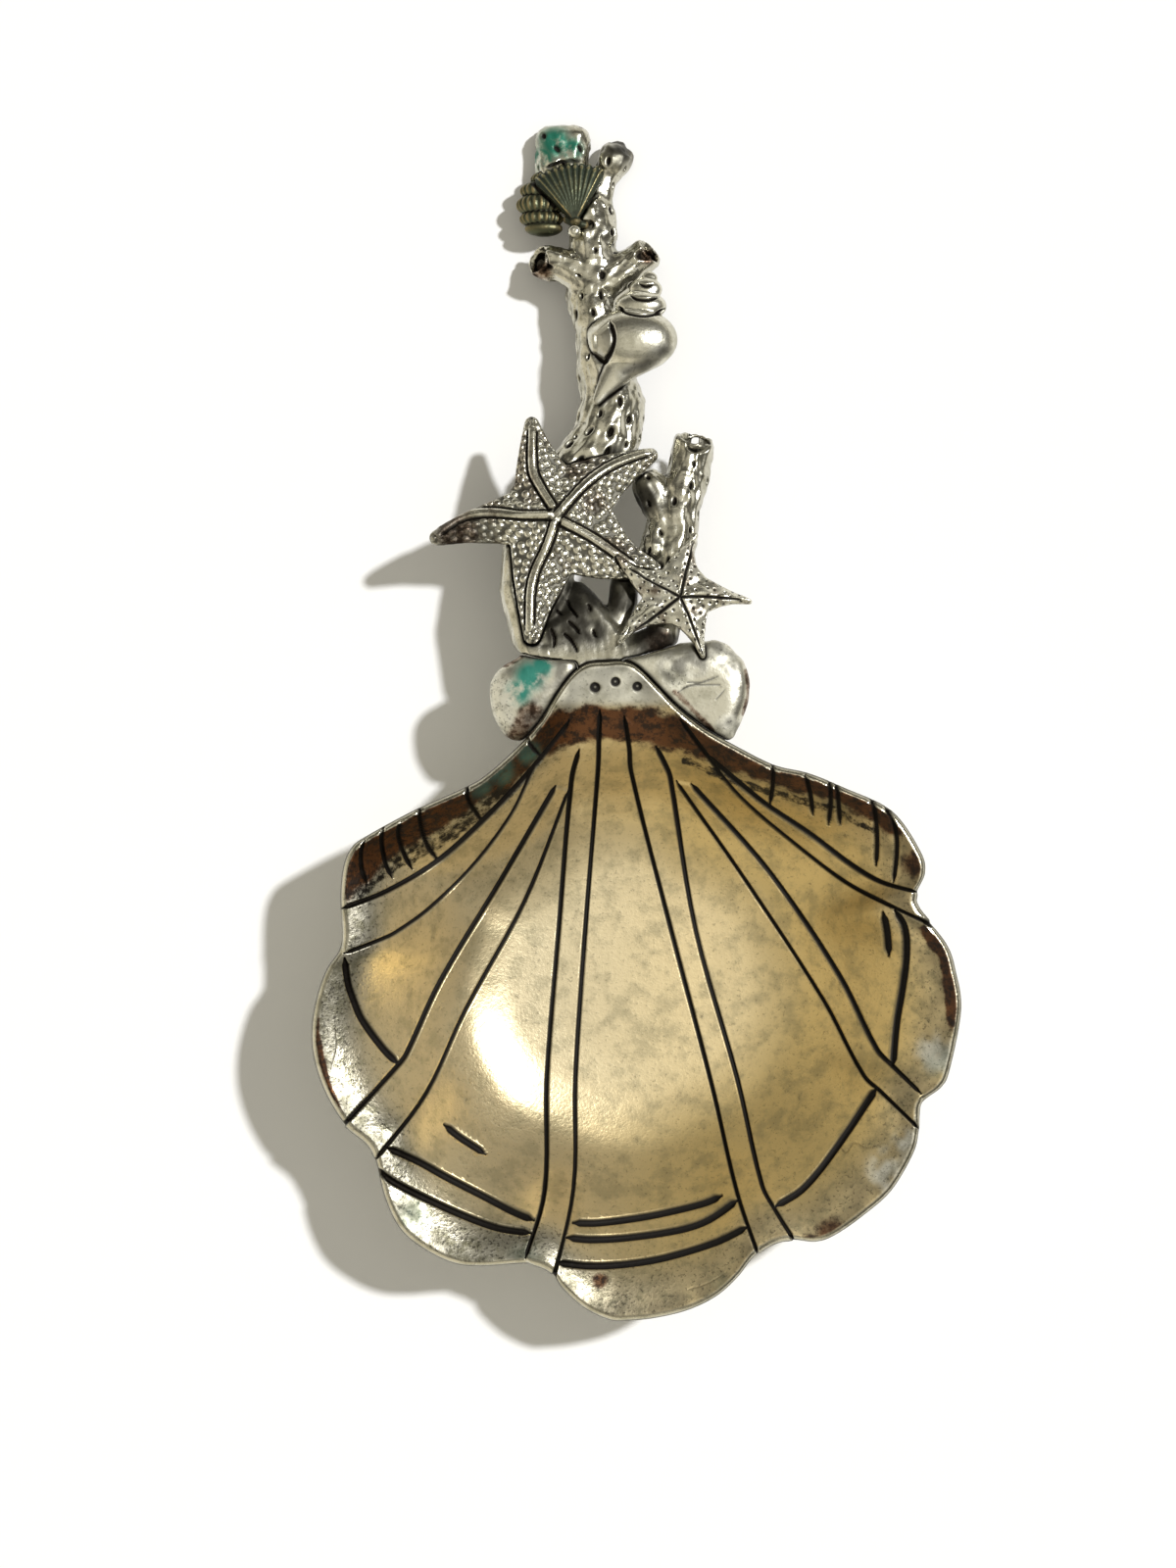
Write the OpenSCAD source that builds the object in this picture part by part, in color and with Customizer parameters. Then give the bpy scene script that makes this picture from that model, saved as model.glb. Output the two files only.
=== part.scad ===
// Shell-bowl sugar spoon with a coral handle, cast in pewter.
// The origin lies on the table, under the middle of the spoon's length and width.
// +Y runs along the spoon towards the handle's tip, +X is to the right, +Z is up.

/* [Bowl] */
// Width of the bowl across its side lobes
bowl_width = 66.5; // [54:0.5:82]
// Length of the bowl from its front lobe to the back of the umbo
bowl_length = 67.6; // [54:0.2:84]
// Height of the rim at the umbo
bowl_height = 15; // [13:0.5:19]
// How much lower the rim lies at the front lobe
front_drop = 1.2; // [0:0.1:3]
// Thickness of the bowl's wall
bowl_wall = 1.4; // [1:0.1:2]
// Thickness of the hinge ears behind the umbo
ear_thickness = 3.2; // [2:0.1:4.5]
// How far the ears lie below the rim
ear_drop = 0.5; // [0:0.1:1.5]

/* [Handle] */
// Length of the handle along its flat back
handle_length = 57.5; // [48:0.5:70]
// How far the handle's flat back lies below the rim where it meets the bowl
neck_drop = 4.5; // [3.6:0.1:5.4]
// Distance of the handle's axis from the bowl's middle, to the left
neck_offset = 2; // [0:0.1:4]

/* [Coral] */
// Width of a full coral limb
limb_width = 5; // [4:0.1:6.2]
// Height of the coral above its flat back
coral_height = 3.3; // [2.9:0.1:3.8]
// Depth of the open coral cups
cup_depth = 1.2; // [0.6:0.1:2]
// Wall around an open coral cup
cup_wall = 0.45; // [0.3:0.05:0.6]

/* [Starfish] */
// Reach of the large starfish's longest arm
large_reach = 13.9; // [12:0.1:16]
// Height of the large starfish's back above its seat
large_thickness = 2.1; // [1.6:0.1:2.8]
// Height of the seat of the large starfish above the handle's flat back
large_seat = 2.7; // [2.2:0.1:2.8]
// Reach of the small starfish's longest arm
small_reach = 8.3; // [7:0.1:9.6]
// Height of the small starfish's back above its seat
small_thickness = 1.5; // [1.2:0.1:2]
// Height of the seat of the small starfish above the seat of the large one
small_lift = 0.9; // [0.7:0.1:1.3]

/* [Shells] */
// Width of the whelk's body whorl
whelk_width = 8.8; // [7.6:0.1:10]
// Height of the whelk above its seat
whelk_thickness = 4.6; // [3.8:0.1:5.6]
// Radius of the scallop fan from its hinge to its edge
fan_radius = 7.1; // [6:0.1:8.4]
// Height of the fan's ribs above its seat
fan_thickness = 1.9; // [1.5:0.1:2.4]
// Number of ribs on the fan
fan_ribs = 11; // [9:1:13]
// Width of the turban shell at its widest band
turban_width = 5.6; // [4.8:0.1:6.4]
// Diameter of the pearl beside the fan's hinge
pearl_d = 1.5; // [1.2:0.1:1.9]

/* [Fit] */
// Gap left by the joint between two castings
joint_gap = 0.03; // [0.01:0.01:0.08]

/* [Hidden] */

// Rim of the bowl, clockwise from the umbo, as shares of the bowl's width and length
rim_outline_shares = [
  [-0.047, 0.999], [-0.020, 1.000], [0.001, 0.991], [0.031, 0.962], [0.061, 0.932],
  [0.102, 0.900], [0.150, 0.873], [0.211, 0.843], [0.265, 0.830], [0.320, 0.808],
  [0.393, 0.773], [0.437, 0.712], [0.444, 0.679], [0.431, 0.648], [0.435, 0.625],
  [0.477, 0.572], [0.492, 0.529], [0.500, 0.471], [0.483, 0.383], [0.470, 0.355],
  [0.438, 0.328], [0.435, 0.288], [0.426, 0.253], [0.393, 0.198], [0.350, 0.160],
  [0.306, 0.130], [0.276, 0.120], [0.240, 0.123], [0.211, 0.117], [0.181, 0.097],
  [0.156, 0.066], [0.123, 0.037], [0.079, 0.016], [0.028, 0.004], [-0.014, 0.000],
  [-0.041, 0.001], [-0.080, 0.019], [-0.114, 0.049], [-0.132, 0.074], [-0.162, 0.086],
  [-0.190, 0.086], [-0.234, 0.083], [-0.277, 0.086], [-0.321, 0.105], [-0.362, 0.137],
  [-0.387, 0.185], [-0.402, 0.245], [-0.416, 0.270], [-0.449, 0.298], [-0.479, 0.346],
  [-0.497, 0.399], [-0.500, 0.446], [-0.492, 0.492], [-0.477, 0.533], [-0.458, 0.561],
  [-0.452, 0.590], [-0.455, 0.626], [-0.455, 0.657], [-0.450, 0.693], [-0.438, 0.718],
  [-0.417, 0.734], [-0.344, 0.773], [-0.265, 0.808], [-0.232, 0.827], [-0.187, 0.866],
  [-0.148, 0.908], [-0.124, 0.947], [-0.100, 0.979], [-0.076, 0.996]];
// Points added between two points of the rim
rim_steps = 2;
// Middle of the floor, in the same shares
floor_centre_share = [-0.007, 0.52];
// Rise of the inner wall: share of the way from the floor's middle to the rim, then the
// share of the height reached there in the lobes, in the shoulders and in the umbo
wall_rise_shares = [
  [0.28, 0.00, 0.00, 0.00], [0.42, 0.03, 0.02, 0.03], [0.55, 0.14, 0.10, 0.14],
  [0.66, 0.34, 0.22, 0.34], [0.75, 0.55, 0.37, 0.60], [0.83, 0.74, 0.55, 0.84],
  [0.90, 0.89, 0.73, 0.95], [0.96, 0.97, 0.90, 0.99], [1.00, 1.00, 1.00, 1.00]];
// Share of the way to the rim where its scallops begin, and how many points to each side
// they are evened out over below that
scallop_start_share = 0.62;
scallop_spread = 8;
// Share of the length where the lobes give way to the shoulders, and over which they do
shoulder_start_share = 0.62;
shoulder_blend_share = 0.14;
// Share of the width where the umbo's crest lies, and how far it spreads to each side
umbo_crest_share = -0.04;
umbo_spread_share = 0.18;
// Share of the length behind which the umbo rises
umbo_start_share = 0.78;
// Rounding of the rim, as a share of the wall
rim_round_share = 0.4;

// Lobes of the hinge ears: place in shares of the bowl, then radius as a share of its width
left_ear_shares = [[-0.177, 0.964, 0.048], [-0.180, 0.913, 0.036], [-0.140, 0.962, 0.039],
                   [-0.112, 0.986, 0.030]];
right_ear_shares = [[0.103, 0.979, 0.054], [0.137, 0.962, 0.040], [0.133, 0.903, 0.027],
                    [0.058, 0.990, 0.038], [0.001, 0.990, 0.034], [0.072, 0.930, 0.030]];
// Area of the ears, behind which the coral root begins, in shares of the bowl
ear_area_shares = [[-0.316, 1.102], [-0.256, 1.102], [-0.180, 1.011], [-0.153, 1.005],
                   [-0.123, 1.001], [-0.093, 0.999], [-0.086, 0.970], [-0.030, 0.970],
                   [-0.022, 1.002], [-0.008, 1.005], [0.010, 1.009], [0.039, 1.018],
                   [0.061, 1.025], [0.095, 1.052], [0.137, 1.111], [0.228, 1.111],
                   [0.228, 0.814], [-0.316, 0.814]];

// Coral limbs: places across and along the handle in shares of its length, then the
// limb's radius as a share of the full limb's width
root_left_shares = [[-0.135, -0.040, 0.42], [-0.152, 0.031, 0.43], [-0.181, 0.126, 0.36],
                    [-0.170, 0.223, 0.40], [-0.113, 0.300, 0.52]];
root_block_shares = [[-0.125, 0.031, 0.36], [-0.006, 0.031, 0.40], [-0.051, 0.088, 0.36],
                     [-0.069, 0.125, 0.24]];
root_foot_shares = [[-0.140, 0.000, 0.44], [0.014, 0.000, 0.44], [-0.050, -0.060, 0.50],
                    [0.000, 0.036, 0.36]];
root_bridge_shares = [[-0.125, 0.090, 0.44], [-0.110, 0.200, 0.50], [-0.095, 0.300, 0.52]];
root_right_shares = [[0.014, 0.000, 0.44], [0.080, 0.036, 0.36], [0.095, 0.110, 0.36]];
root_sprig_shares = [[-0.003, 0.050, 0.30], [0.011, 0.100, 0.32], [0.014, 0.150, 0.31]];
stem_shares = [[-0.080, 0.300, 0.52], [-0.072, 0.350, 0.64], [-0.018, 0.407, 0.80],
               [-0.006, 0.481, 0.72], [-0.026, 0.545, 0.56], [-0.036, 0.609, 0.46],
               [-0.042, 0.674, 0.60], [-0.042, 0.744, 0.56], [-0.048, 0.813, 0.44],
               [-0.052, 0.850, 0.44]];
left_tip_girth_share = 0.36;
left_tip_shares = [[-0.052, 0.834, 0.42], [-0.099, 0.893, 0.54]];
// Places across of the two corners of its blunt end
left_tip_across_share = [-0.119, -0.075];
right_tip_shares = [[-0.025, 0.788, 0.36], [-0.030, 0.853, 0.28], [-0.021, 0.903, 0.28],
                    [0.002, 0.941, 0.39]];
left_stub_shares = [[-0.050, 0.710, 0.46], [-0.096, 0.730, 0.38], [-0.131, 0.739, 0.40]];
right_stub_shares = [[-0.012, 0.697, 0.50], [0.022, 0.730, 0.42], [0.052, 0.750, 0.39]];
branch_shares = [[0.107, 0.125, 0.42], [0.103, 0.201, 0.46], [0.113, 0.274, 0.46],
                 [0.127, 0.337, 0.47], [0.139, 0.392, 0.46]];
branch_spur_shares = [[0.069, 0.198, 0.40], [0.087, 0.258, 0.34], [0.060, 0.317, 0.41]];
// Height of a thin limb's axis above the flat back, as a share of its radius
limb_axis_share = 0.75;
// Rise of a cup's mouth above the flat back's direction
cup_tilt = 32;
// Place of a cup's mouth beyond the limb's last point, as a share of its radius
cup_mouth_share = 0.45;

// Arms of the large starfish: direction, then reach, bow, root and tip as shares of its
// longest reach; the bow is positive to the left, seen from the middle
large_centre_share = [-0.106, 0.256];
large_arm_shares = [[105.4, 0.780, 0.05, 0.32, 0.055], [190.8, 0.965, -0.04, 0.28, 0.055],
                    [258.5, 1.000, -0.04, 0.35, 0.060], [330, 0.880, -0.08, 0.40, 0.060],
                    [33.5, 0.885, 0.05, 0.34, 0.055]];
// Arms of the small starfish, written alike
small_centre_share = [0.116, 0.105];
small_arm_shares = [[77, 0.820, 0.11, 0.385, 0.030], [148.5, 0.965, 0.09, 0.38, 0.030],
                    [217, 1.000, -0.09, 0.375, 0.030], [288.5, 0.830, 0.02, 0.36, 0.030],
                    [355, 0.870, 0.04, 0.35, 0.030]];
// How fast the arms taper, the large starfish's and the small one's
large_taper = 1.1;
small_taper = 1.5;
// Height of an arm's edge and of its tip, as shares of the starfish's thickness
arm_edge_share = 0.38;
arm_tip_share = 0.6;
// Radius of the ridge along an arm, as a share of the starfish's thickness
arm_ridge_share = 0.16;
// Pieces that each arm is drawn in
arm_steps = 4;

// Whelk: seat above the flat back, as a share of its thickness
whelk_seat_share = 0.22;
// Places in shares of the handle's length, then radius as a share of the whelk's width
// and the part of that radius that it measures along the shell
whelk_body_shares = [[-0.022, 0.592, 0.20, 0.90],
                     [0.030, 0.582, 0.53, 0.73], [0.040, 0.560, 0.38, 0.62],
                     [0.010, 0.530, 0.22, 0.80], [-0.023, 0.488, 0.10, 1.00],
                     [-0.035, 0.468, 0.06, 1.00]];
whelk_whorl_shares = [[0.046, 0.645, 0.31, 0.50], [0.055, 0.679, 0.20, 0.60],
                      [0.061, 0.697, 0.09, 0.90]];
// Corners of the whelk's mouth, with their radius as a share of its width
whelk_mouth_shares = [[-0.008, 0.602, 0.04], [-0.031, 0.584, 0.07], [-0.022, 0.544, 0.05]];
// Height of the mouth's floor above the middle of the whelk, as a share of its thickness
whelk_mouth_floor_share = 0.16;

// Fan scallop: hinge in shares of the handle's length
fan_hinge_share = [-0.074, 0.800];
// Directions of its first and last rib
fan_first = 63;
fan_last = 131;
// Seat of the fan above the flat back, as a share of the coral's height
fan_seat_share = 0.74;
// Plate under the ribs, as a share of the fan's thickness
fan_plate_share = 0.35;
// Half length of the hinge bar, as a share of the fan's radius
fan_bar_share = 0.21;

// Turban shell: bands from the spire to the lip, with place in shares of the handle's
// length, then half width and half height as shares of the shell's width
turban_band_shares = [[-0.131, 0.894, 0.26, 0.16], [-0.136, 0.872, 0.40, 0.20],
                      [-0.139, 0.845, 0.44, 0.24], [-0.136, 0.819, 0.41, 0.18],
                      [-0.132, 0.801, 0.36, 0.15]];
// Height of the turban's widest band above the flat back, as a share of its width
turban_height_share = 0.54;

// Place of the pearl in shares of the handle's length
pearl_share = [-0.076, 0.785];

// Sides of the round forms
limb_sides = 10;
arm_sides = 12;
ear_sides = 20;
whelk_sides = 16;
turban_sides = 12;
rib_sides = 6;
pearl_sides = 16;
// Room above the handle that a seat's cut clears
seat_clear = 2 * coral_height;

// Angle between the handle's flat back and the table
neck_height = bowl_height - neck_drop;
handle_tilt = asin(neck_height / handle_length);
left_tip_radius = left_tip_girth_share * limb_width;
// Length of the handle as seen from above
handle_reach = (handle_length - left_tip_radius) * cos(handle_tilt)
             + axis_height(left_tip_radius) * sin(handle_tilt) + left_tip_radius;
front_y = -(bowl_length + handle_reach) / 2;
neck = [-neck_offset, front_y + bowl_length, neck_height];
small_seat = large_seat + small_lift;
whelk_seat = whelk_seat_share * whelk_thickness;
fan_seat = fan_seat_share * coral_height;

function clamp(v) = max(0, min(1, v));
function ease(v) = clamp(v) * clamp(v) * (3 - 2 * clamp(v));
// Height of a limb's axis above the flat back
function axis_height(r) = min(coral_height - r, limb_axis_share * r);

function mean(values) = values * [for (v = values) 1] / len(values);

// Catmull-Rom point at t between p1 and p2
function spline_point(p0, p1, p2, p3, t) =
  (2 * p1 + (p2 - p0) * t + (2 * p0 - 5 * p1 + 4 * p2 - p3) * t * t
   + (3 * p1 - p0 - 3 * p2 + p3) * t * t * t) / 2;
function smooth_loop(points, steps) =
  let (n = len(points))
  [for (i = [0:n - 1]) for (s = [0:steps - 1])
    spline_point(points[(i + n - 1) % n], points[i], points[(i + 1) % n],
                 points[(i + 2) % n], s / steps)];

// Place on the table of a point given in shares of the bowl
function on_bowl(share) = [share.x * bowl_width, front_y + share.y * bowl_length];
// Place on the handle's flat back of a point given in shares of the handle's length
function on_handle(share) = [share.x, share.y] * handle_length;

rim_shares = smooth_loop(rim_outline_shares, rim_steps);
rim_count = len(rim_shares);
floor_centre = on_bowl(floor_centre_share);
rim_heights = [for (s = rim_shares) bowl_height - front_drop * (1 - s.y)];
// Vectors from the floor's middle to the rim
rim_rays = [for (s = rim_shares) on_bowl(s) - floor_centre];
// Lengths of those rays, and what is left of them where the scallops are evened out
rim_reach = [for (ray = rim_rays) norm(ray)];
even_reach = [for (i = [0:rim_count - 1])
  mean([for (k = [-scallop_spread:scallop_spread]) rim_reach[(i + k + rim_count) % rim_count]])];
umbo_weights = [for (s = rim_shares)
  ease(1 - abs(s.x - umbo_crest_share) / umbo_spread_share)
  * ease((s.y - umbo_start_share) / (1 - umbo_start_share))];
shoulder_weights = [for (i = [0:rim_count - 1])
  ease((rim_shares[i].y - shoulder_start_share) / shoulder_blend_share)
  * (1 - umbo_weights[i])];

function rise_share(i, row) =
  row[1] * (1 - shoulder_weights[i] - umbo_weights[i])
  + row[2] * shoulder_weights[i] + row[3] * umbo_weights[i];
// Share of ray i that the wall has reached, t of the way from the floor's middle
function ray_share(i, t) =
  let (scallop = ease((t - scallop_start_share) / (1 - scallop_start_share)))
  t * (even_reach[i] / rim_reach[i] * (1 - scallop) + scallop);
// Height of the inner wall along ray i at ring j
function inner_height(i, j) =
  bowl_wall + (rim_heights[i] - bowl_wall) * rise_share(i, wall_rise_shares[j]);
// Thickness of the wall measured straight down, along ray i at ring j
function wall_drop(i, j) =
  let (last = len(wall_rise_shares) - 1,
       a = max(0, j - 1), b = min(last, j + 1),
       run = rim_reach[i] * (ray_share(i, wall_rise_shares[b][0])
                             - ray_share(i, wall_rise_shares[a][0])),
       climb = inner_height(i, b) - inner_height(i, a))
  j == 0 ? bowl_wall : bowl_wall * norm([run, climb]) / run;

// One ring of points round the bowl, drawn in from the rim by a length
function ring(t, inset, heights) =
  [for (i = [0:rim_count - 1])
    let (p = floor_centre + rim_rays[i] * (ray_share(i, t) - inset / rim_reach[i]))
    [p.x, p.y, heights[i]]];
function outer_ring(j, grow) =
  ring(wall_rise_shares[j][0], -grow,
       [for (i = [0:rim_count - 1])
         max(-grow, inner_height(i, j) - wall_drop(i, j) - grow)]);

// Closed solid through a stack of rings with as many points each
module ring_solid(rings) {
  n = len(rings[0]);
  last = len(rings) - 1;
  sides = [for (j = [0:last - 1]) for (i = [0:n - 1])
    let (a = j * n + i, b = j * n + (i + 1) % n, c = a + n, d = b + n)
    each [[a, d, b], [a, c, d]]];
  polyhedron(points = [for (r = rings) each r],
             faces = concat(sides, [[for (i = [0:n - 1]) i]],
                            [[for (i = [n - 1:-1:0]) last * n + i]]));
}

module shell_bowl() {
  last = len(wall_rise_shares) - 1;
  lip = rim_round_share * bowl_wall;
  inner = [for (j = [0:last - 1])
    ring(wall_rise_shares[j][0], 0, [for (i = [0:rim_count - 1]) inner_height(i, j)])];
  crest = [ring(1, lip, rim_heights), ring(1, 0, [for (h = rim_heights) h - lip])];
  outer = [for (j = [last:-2:0]) outer_ring(j, 0)];
  color("#b3aea2") ring_solid(concat(inner, crest, outer));
}

// Space that the bowl takes, with all above it, to cut its neighbours
module bowl_space() {
  last = len(wall_rise_shares) - 1;
  top = 2 * bowl_height;
  under = [for (j = [last:-2:0]) outer_ring(j, joint_gap)];
  ring_solid(concat([ring(1, -joint_gap, [for (i = [0:rim_count - 1]) top])], under));
}

// Dome of a hinge ear round its lobes
module ear(lobes) {
  middle = bowl_height - ear_drop - ear_thickness / 2;
  hull() for (lobe = lobes) {
    r = lobe[2] * bowl_width;
    translate([on_bowl(lobe).x, on_bowl(lobe).y, middle])
      scale([1, 1, ear_thickness / (2 * r)]) sphere(r = r, $fn = ear_sides);
  }
}

// Space of the ears, in front of the coral root
module ear_area(grow = 0) {
  linear_extrude(height = 2 * bowl_height)
    offset(delta = grow) polygon([for (p = ear_area_shares) on_bowl(p)]);
}

module hinge_ear(lobes) {
  color("#a9a59a") difference() {
    intersection() {
      ear(lobes);
      ear_area();
    }
    bowl_space();
    in_handle() {
      small_pocket();
      large_pocket();
    }
  }
}

module hinge_ear_left() { hinge_ear(left_ear_shares); }
module hinge_ear_right() { hinge_ear(right_ear_shares); }

// Frame of the handle: x across, y along, z up from its flat back
module in_handle() {
  translate(neck) rotate([-handle_tilt, 0, 0]) children();
}

// Cuts away what lies below a level above the handle's flat back
module flat_back(level = 0) {
  difference() {
    children();
    translate([-handle_length, -handle_length, level - handle_length])
      cube([2, 3, 1] * handle_length);
  }
}

module knuckle(p, grow) {
  r = p[2] * limb_width;
  translate([on_handle(p).x, on_handle(p).y, axis_height(r)])
    sphere(r = r + grow, $fn = limb_sides);
}

// Coral limb through its knuckles
module limb(route, grow = 0) {
  for (i = [0:len(route) - 2]) hull() {
    knuckle(route[i], grow);
    knuckle(route[i + 1], grow);
  }
}

// Flat mouth and hollow of an open limb, at the end of its route
module cup(route) {
  end = route[len(route) - 1];
  way = on_handle(end) - on_handle(route[len(route) - 2]);
  r = end[2] * limb_width;
  mouth = cup_mouth_share * r;
  translate([on_handle(end).x, on_handle(end).y, axis_height(r)])
    rotate([0, 90 - cup_tilt, atan2(way.y, way.x)]) {
      translate([0, 0, mouth]) cylinder(r = 2 * r, h = 2 * r, $fn = limb_sides);
      translate([0, 0, mouth - cup_depth])
        cylinder(r1 = r / 2, r2 = r - cup_wall, h = cup_depth + cup_wall, $fn = limb_sides);
    }
}

// Blunt end of the left tip, which reaches the full length of the handle
module left_tip_end(grow) {
  along = 1 - left_tip_radius / handle_length;
  hull() {
    knuckle(left_tip_shares[len(left_tip_shares) - 1], grow);
    for (across = left_tip_across_share) knuckle([across, along, left_tip_girth_share], grow);
  }
}

module root_limbs(grow = 0) {
  limb(root_left_shares, grow);
  limb(root_bridge_shares, grow);
  limb(root_right_shares, grow);
  limb(root_sprig_shares, grow);
  for (lump = [root_block_shares, root_foot_shares]) hull() for (p = lump) knuckle(p, grow);
}

module stem_limbs(grow = 0) {
  limb(stem_shares, grow);
  limb(left_tip_shares, grow);
  left_tip_end(grow);
  limb(right_tip_shares, grow);
  limb(left_stub_shares, grow);
  limb(right_stub_shares, grow);
}

module coral_root() {
  color("#9d998e") difference() {
    in_handle() difference() {
      flat_back() root_limbs();
      large_pocket();
      small_pocket();
    }
    bowl_space();
    ear_area(joint_gap);
  }
}

module coral_stem() {
  color("#a39f93") in_handle() difference() {
    flat_back() stem_limbs();
    cup(right_tip_shares);
    cup(left_stub_shares);
    cup(right_stub_shares);
    root_limbs(joint_gap);
    large_pocket();
    whelk_form(joint_gap);
    fan_pocket();
    turban_form(joint_gap);
    pearl_form(joint_gap);
  }
}

module coral_branch() {
  color("#a39f93") in_handle() difference() {
    flat_back() {
      limb(branch_shares);
      limb(branch_spur_shares);
    }
    cup(branch_shares);
    root_limbs(joint_gap);
    large_pocket();
    small_pocket();
  }
}

// Point on the middle line of a starfish's arm, t of the way to its tip
function arm_point(arm, reach, t) =
  let (long = (arm[1] - arm[4]) * reach, side = 4 * t * (1 - t) * arm[2] * long)
  [long * t * cos(arm[0]) - side * sin(arm[0]), long * t * sin(arm[0]) + side * cos(arm[0])];
function arm_half(arm, reach, taper, t) =
  reach * (arm[4] + (arm[3] - arm[4]) * pow(1 - t, taper));

// Flat outline of a starfish, grown by a length
module star_outline(arms, reach, taper, grow) {
  for (arm = arms) for (s = [0:arm_steps - 1]) hull() for (t = [s, s + 1] / arm_steps)
    translate(arm_point(arm, reach, t))
      circle(r = arm_half(arm, reach, taper, t) + grow, $fn = 2 * arm_sides);
}

// Starfish with a ridge along each arm, its flat back at zero
module star_form(arms, reach, taper, thick) {
  ridge = arm_ridge_share * thick;
  for (arm = arms) for (s = [0:arm_steps - 1]) hull() for (t = [s, s + 1] / arm_steps) {
    top = thick * (1 - (1 - arm_tip_share) * t);
    translate(arm_point(arm, reach, t)) {
      cylinder(r = arm_half(arm, reach, taper, t), h = arm_edge_share * thick,
               $fn = arm_sides);
      translate([0, 0, top - ridge]) sphere(r = ridge, $fn = arm_sides / 2);
    }
  }
}

module large_pocket() {
  translate([on_handle(large_centre_share).x, on_handle(large_centre_share).y, large_seat])
    linear_extrude(height = seat_clear)
      star_outline(large_arm_shares, large_reach, large_taper, joint_gap);
}

module small_pocket() {
  translate([on_handle(small_centre_share).x, on_handle(small_centre_share).y, small_seat])
    linear_extrude(height = seat_clear)
      star_outline(small_arm_shares, small_reach, small_taper, joint_gap);
}

module starfish_large() {
  place = on_handle(large_centre_share);
  color("#aaa598") in_handle() difference() {
    translate([place.x, place.y, large_seat + joint_gap])
      star_form(large_arm_shares, large_reach, large_taper, large_thickness);
    small_pocket();
  }
}

module starfish_small() {
  place = on_handle(small_centre_share);
  color("#aaa598") in_handle()
    translate([place.x, place.y, small_seat + joint_gap])
      star_form(small_arm_shares, small_reach, small_taper, small_thickness);
}

// Round form of the whelk, flat in height by its thickness
module whelk_knot(p, grow) {
  r = p[2] * whelk_width;
  translate([on_handle(p).x, on_handle(p).y, whelk_seat + whelk_thickness / 2])
    scale([1, p[3], whelk_thickness / whelk_width]) sphere(r = r + grow, $fn = whelk_sides);
}

module whelk_form(grow = 0) {
  flat_back(whelk_seat - grow) {
    for (i = [0:len(whelk_body_shares) - 2]) hull() {
      whelk_knot(whelk_body_shares[i], grow);
      whelk_knot(whelk_body_shares[i + 1], grow);
    }
    for (whorl = whelk_whorl_shares) hull() whelk_knot(whorl, grow);
  }
}

module whelk() {
  mouth_floor = whelk_seat + (1 / 2 + whelk_mouth_floor_share) * whelk_thickness;
  color("#b0aca0") in_handle() difference() {
    whelk_form();
    hull() for (corner = whelk_mouth_shares)
      translate([on_handle(corner).x, on_handle(corner).y, mouth_floor])
        cylinder(r = corner[2] * whelk_width, h = whelk_thickness, $fn = whelk_sides);
  }
}

function fan_way(a) = [cos(a), sin(a)];

// Outline of the fan and its hinge bar, grown by a length
module fan_outline(grow) {
  rib_r = fan_rib_radius();
  bar = fan_bar_share * fan_radius;
  translate(on_handle(fan_hinge_share)) {
    for (k = [0:fan_ribs - 2]) hull() {
      circle(r = rib_r / 2 + grow, $fn = turban_sides);
      for (a = [fan_angle(k), fan_angle(k + 1)])
        translate(fan_way(a) * (fan_radius - rib_r)) circle(r = rib_r + grow, $fn = turban_sides);
    }
    hull() for (x = [-bar, bar]) translate([x, 0]) circle(r = rib_r + grow, $fn = turban_sides);
  }
}

function fan_angle(k) = fan_last + (fan_first - fan_last) * k / (fan_ribs - 1);
function fan_rib_radius() = fan_radius * sin((fan_last - fan_first) / (fan_ribs - 1)) / 2;

module fan_pocket() {
  translate([0, 0, fan_seat]) linear_extrude(height = seat_clear) fan_outline(joint_gap);
}

// One rib, from the hinge over the crown to the edge
module fan_rib(a) {
  r = fan_rib_radius();
  plate = fan_plate_share * fan_thickness;
  stations = [[0, plate, r / 2], [fan_radius / 2, fan_thickness - r, r * 3 / 4],
              [fan_radius - r, plate, r * 7 / 8]];
  for (i = [0:1]) hull() for (s = [stations[i], stations[i + 1]])
    translate(fan_way(a) * s[0]) {
      cylinder(r = s[2] / 2, h = plate, $fn = rib_sides);
      translate([0, 0, s[1]]) sphere(r = s[2], $fn = rib_sides);
    }
}

module fan_scallop() {
  place = on_handle(fan_hinge_share);
  r = fan_rib_radius();
  bar = fan_bar_share * fan_radius;
  plate = fan_plate_share * fan_thickness;
  color("#8f9c8e") in_handle() difference() {
    flat_back(fan_seat + joint_gap) {
      translate([place.x, place.y, fan_seat + joint_gap]) {
        for (k = [0:fan_ribs - 1]) fan_rib(fan_angle(k));
        hull() for (x = [-bar, bar])
          translate([x, 0, plate]) sphere(r = r * 7 / 8, $fn = rib_sides);
      }
      translate([0, 0, fan_seat + joint_gap])
        linear_extrude(height = plate) fan_outline(0);
    }
    pearl_form(joint_gap);
  }
}

module turban_form(grow = 0) {
  for (band = turban_band_shares)
    translate([on_handle(band).x, on_handle(band).y,
               turban_height_share * turban_width / 2])
      scale([band[2] * turban_width + grow, band[3] * turban_width + grow,
             turban_height_share * band[2] * turban_width + grow])
        sphere(r = 1, $fn = turban_sides);
}

module turban_shell() {
  color("#8d9589") in_handle() difference() {
    flat_back() turban_form();
    fan_pocket();
    pearl_form(joint_gap);
  }
}

module pearl_form(grow = 0) {
  translate([on_handle(pearl_share).x, on_handle(pearl_share).y, coral_height])
    sphere(d = pearl_d + 2 * grow, $fn = pearl_sides);
}

module pearl() { color("#c2beb2") in_handle() pearl_form(); }

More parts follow.
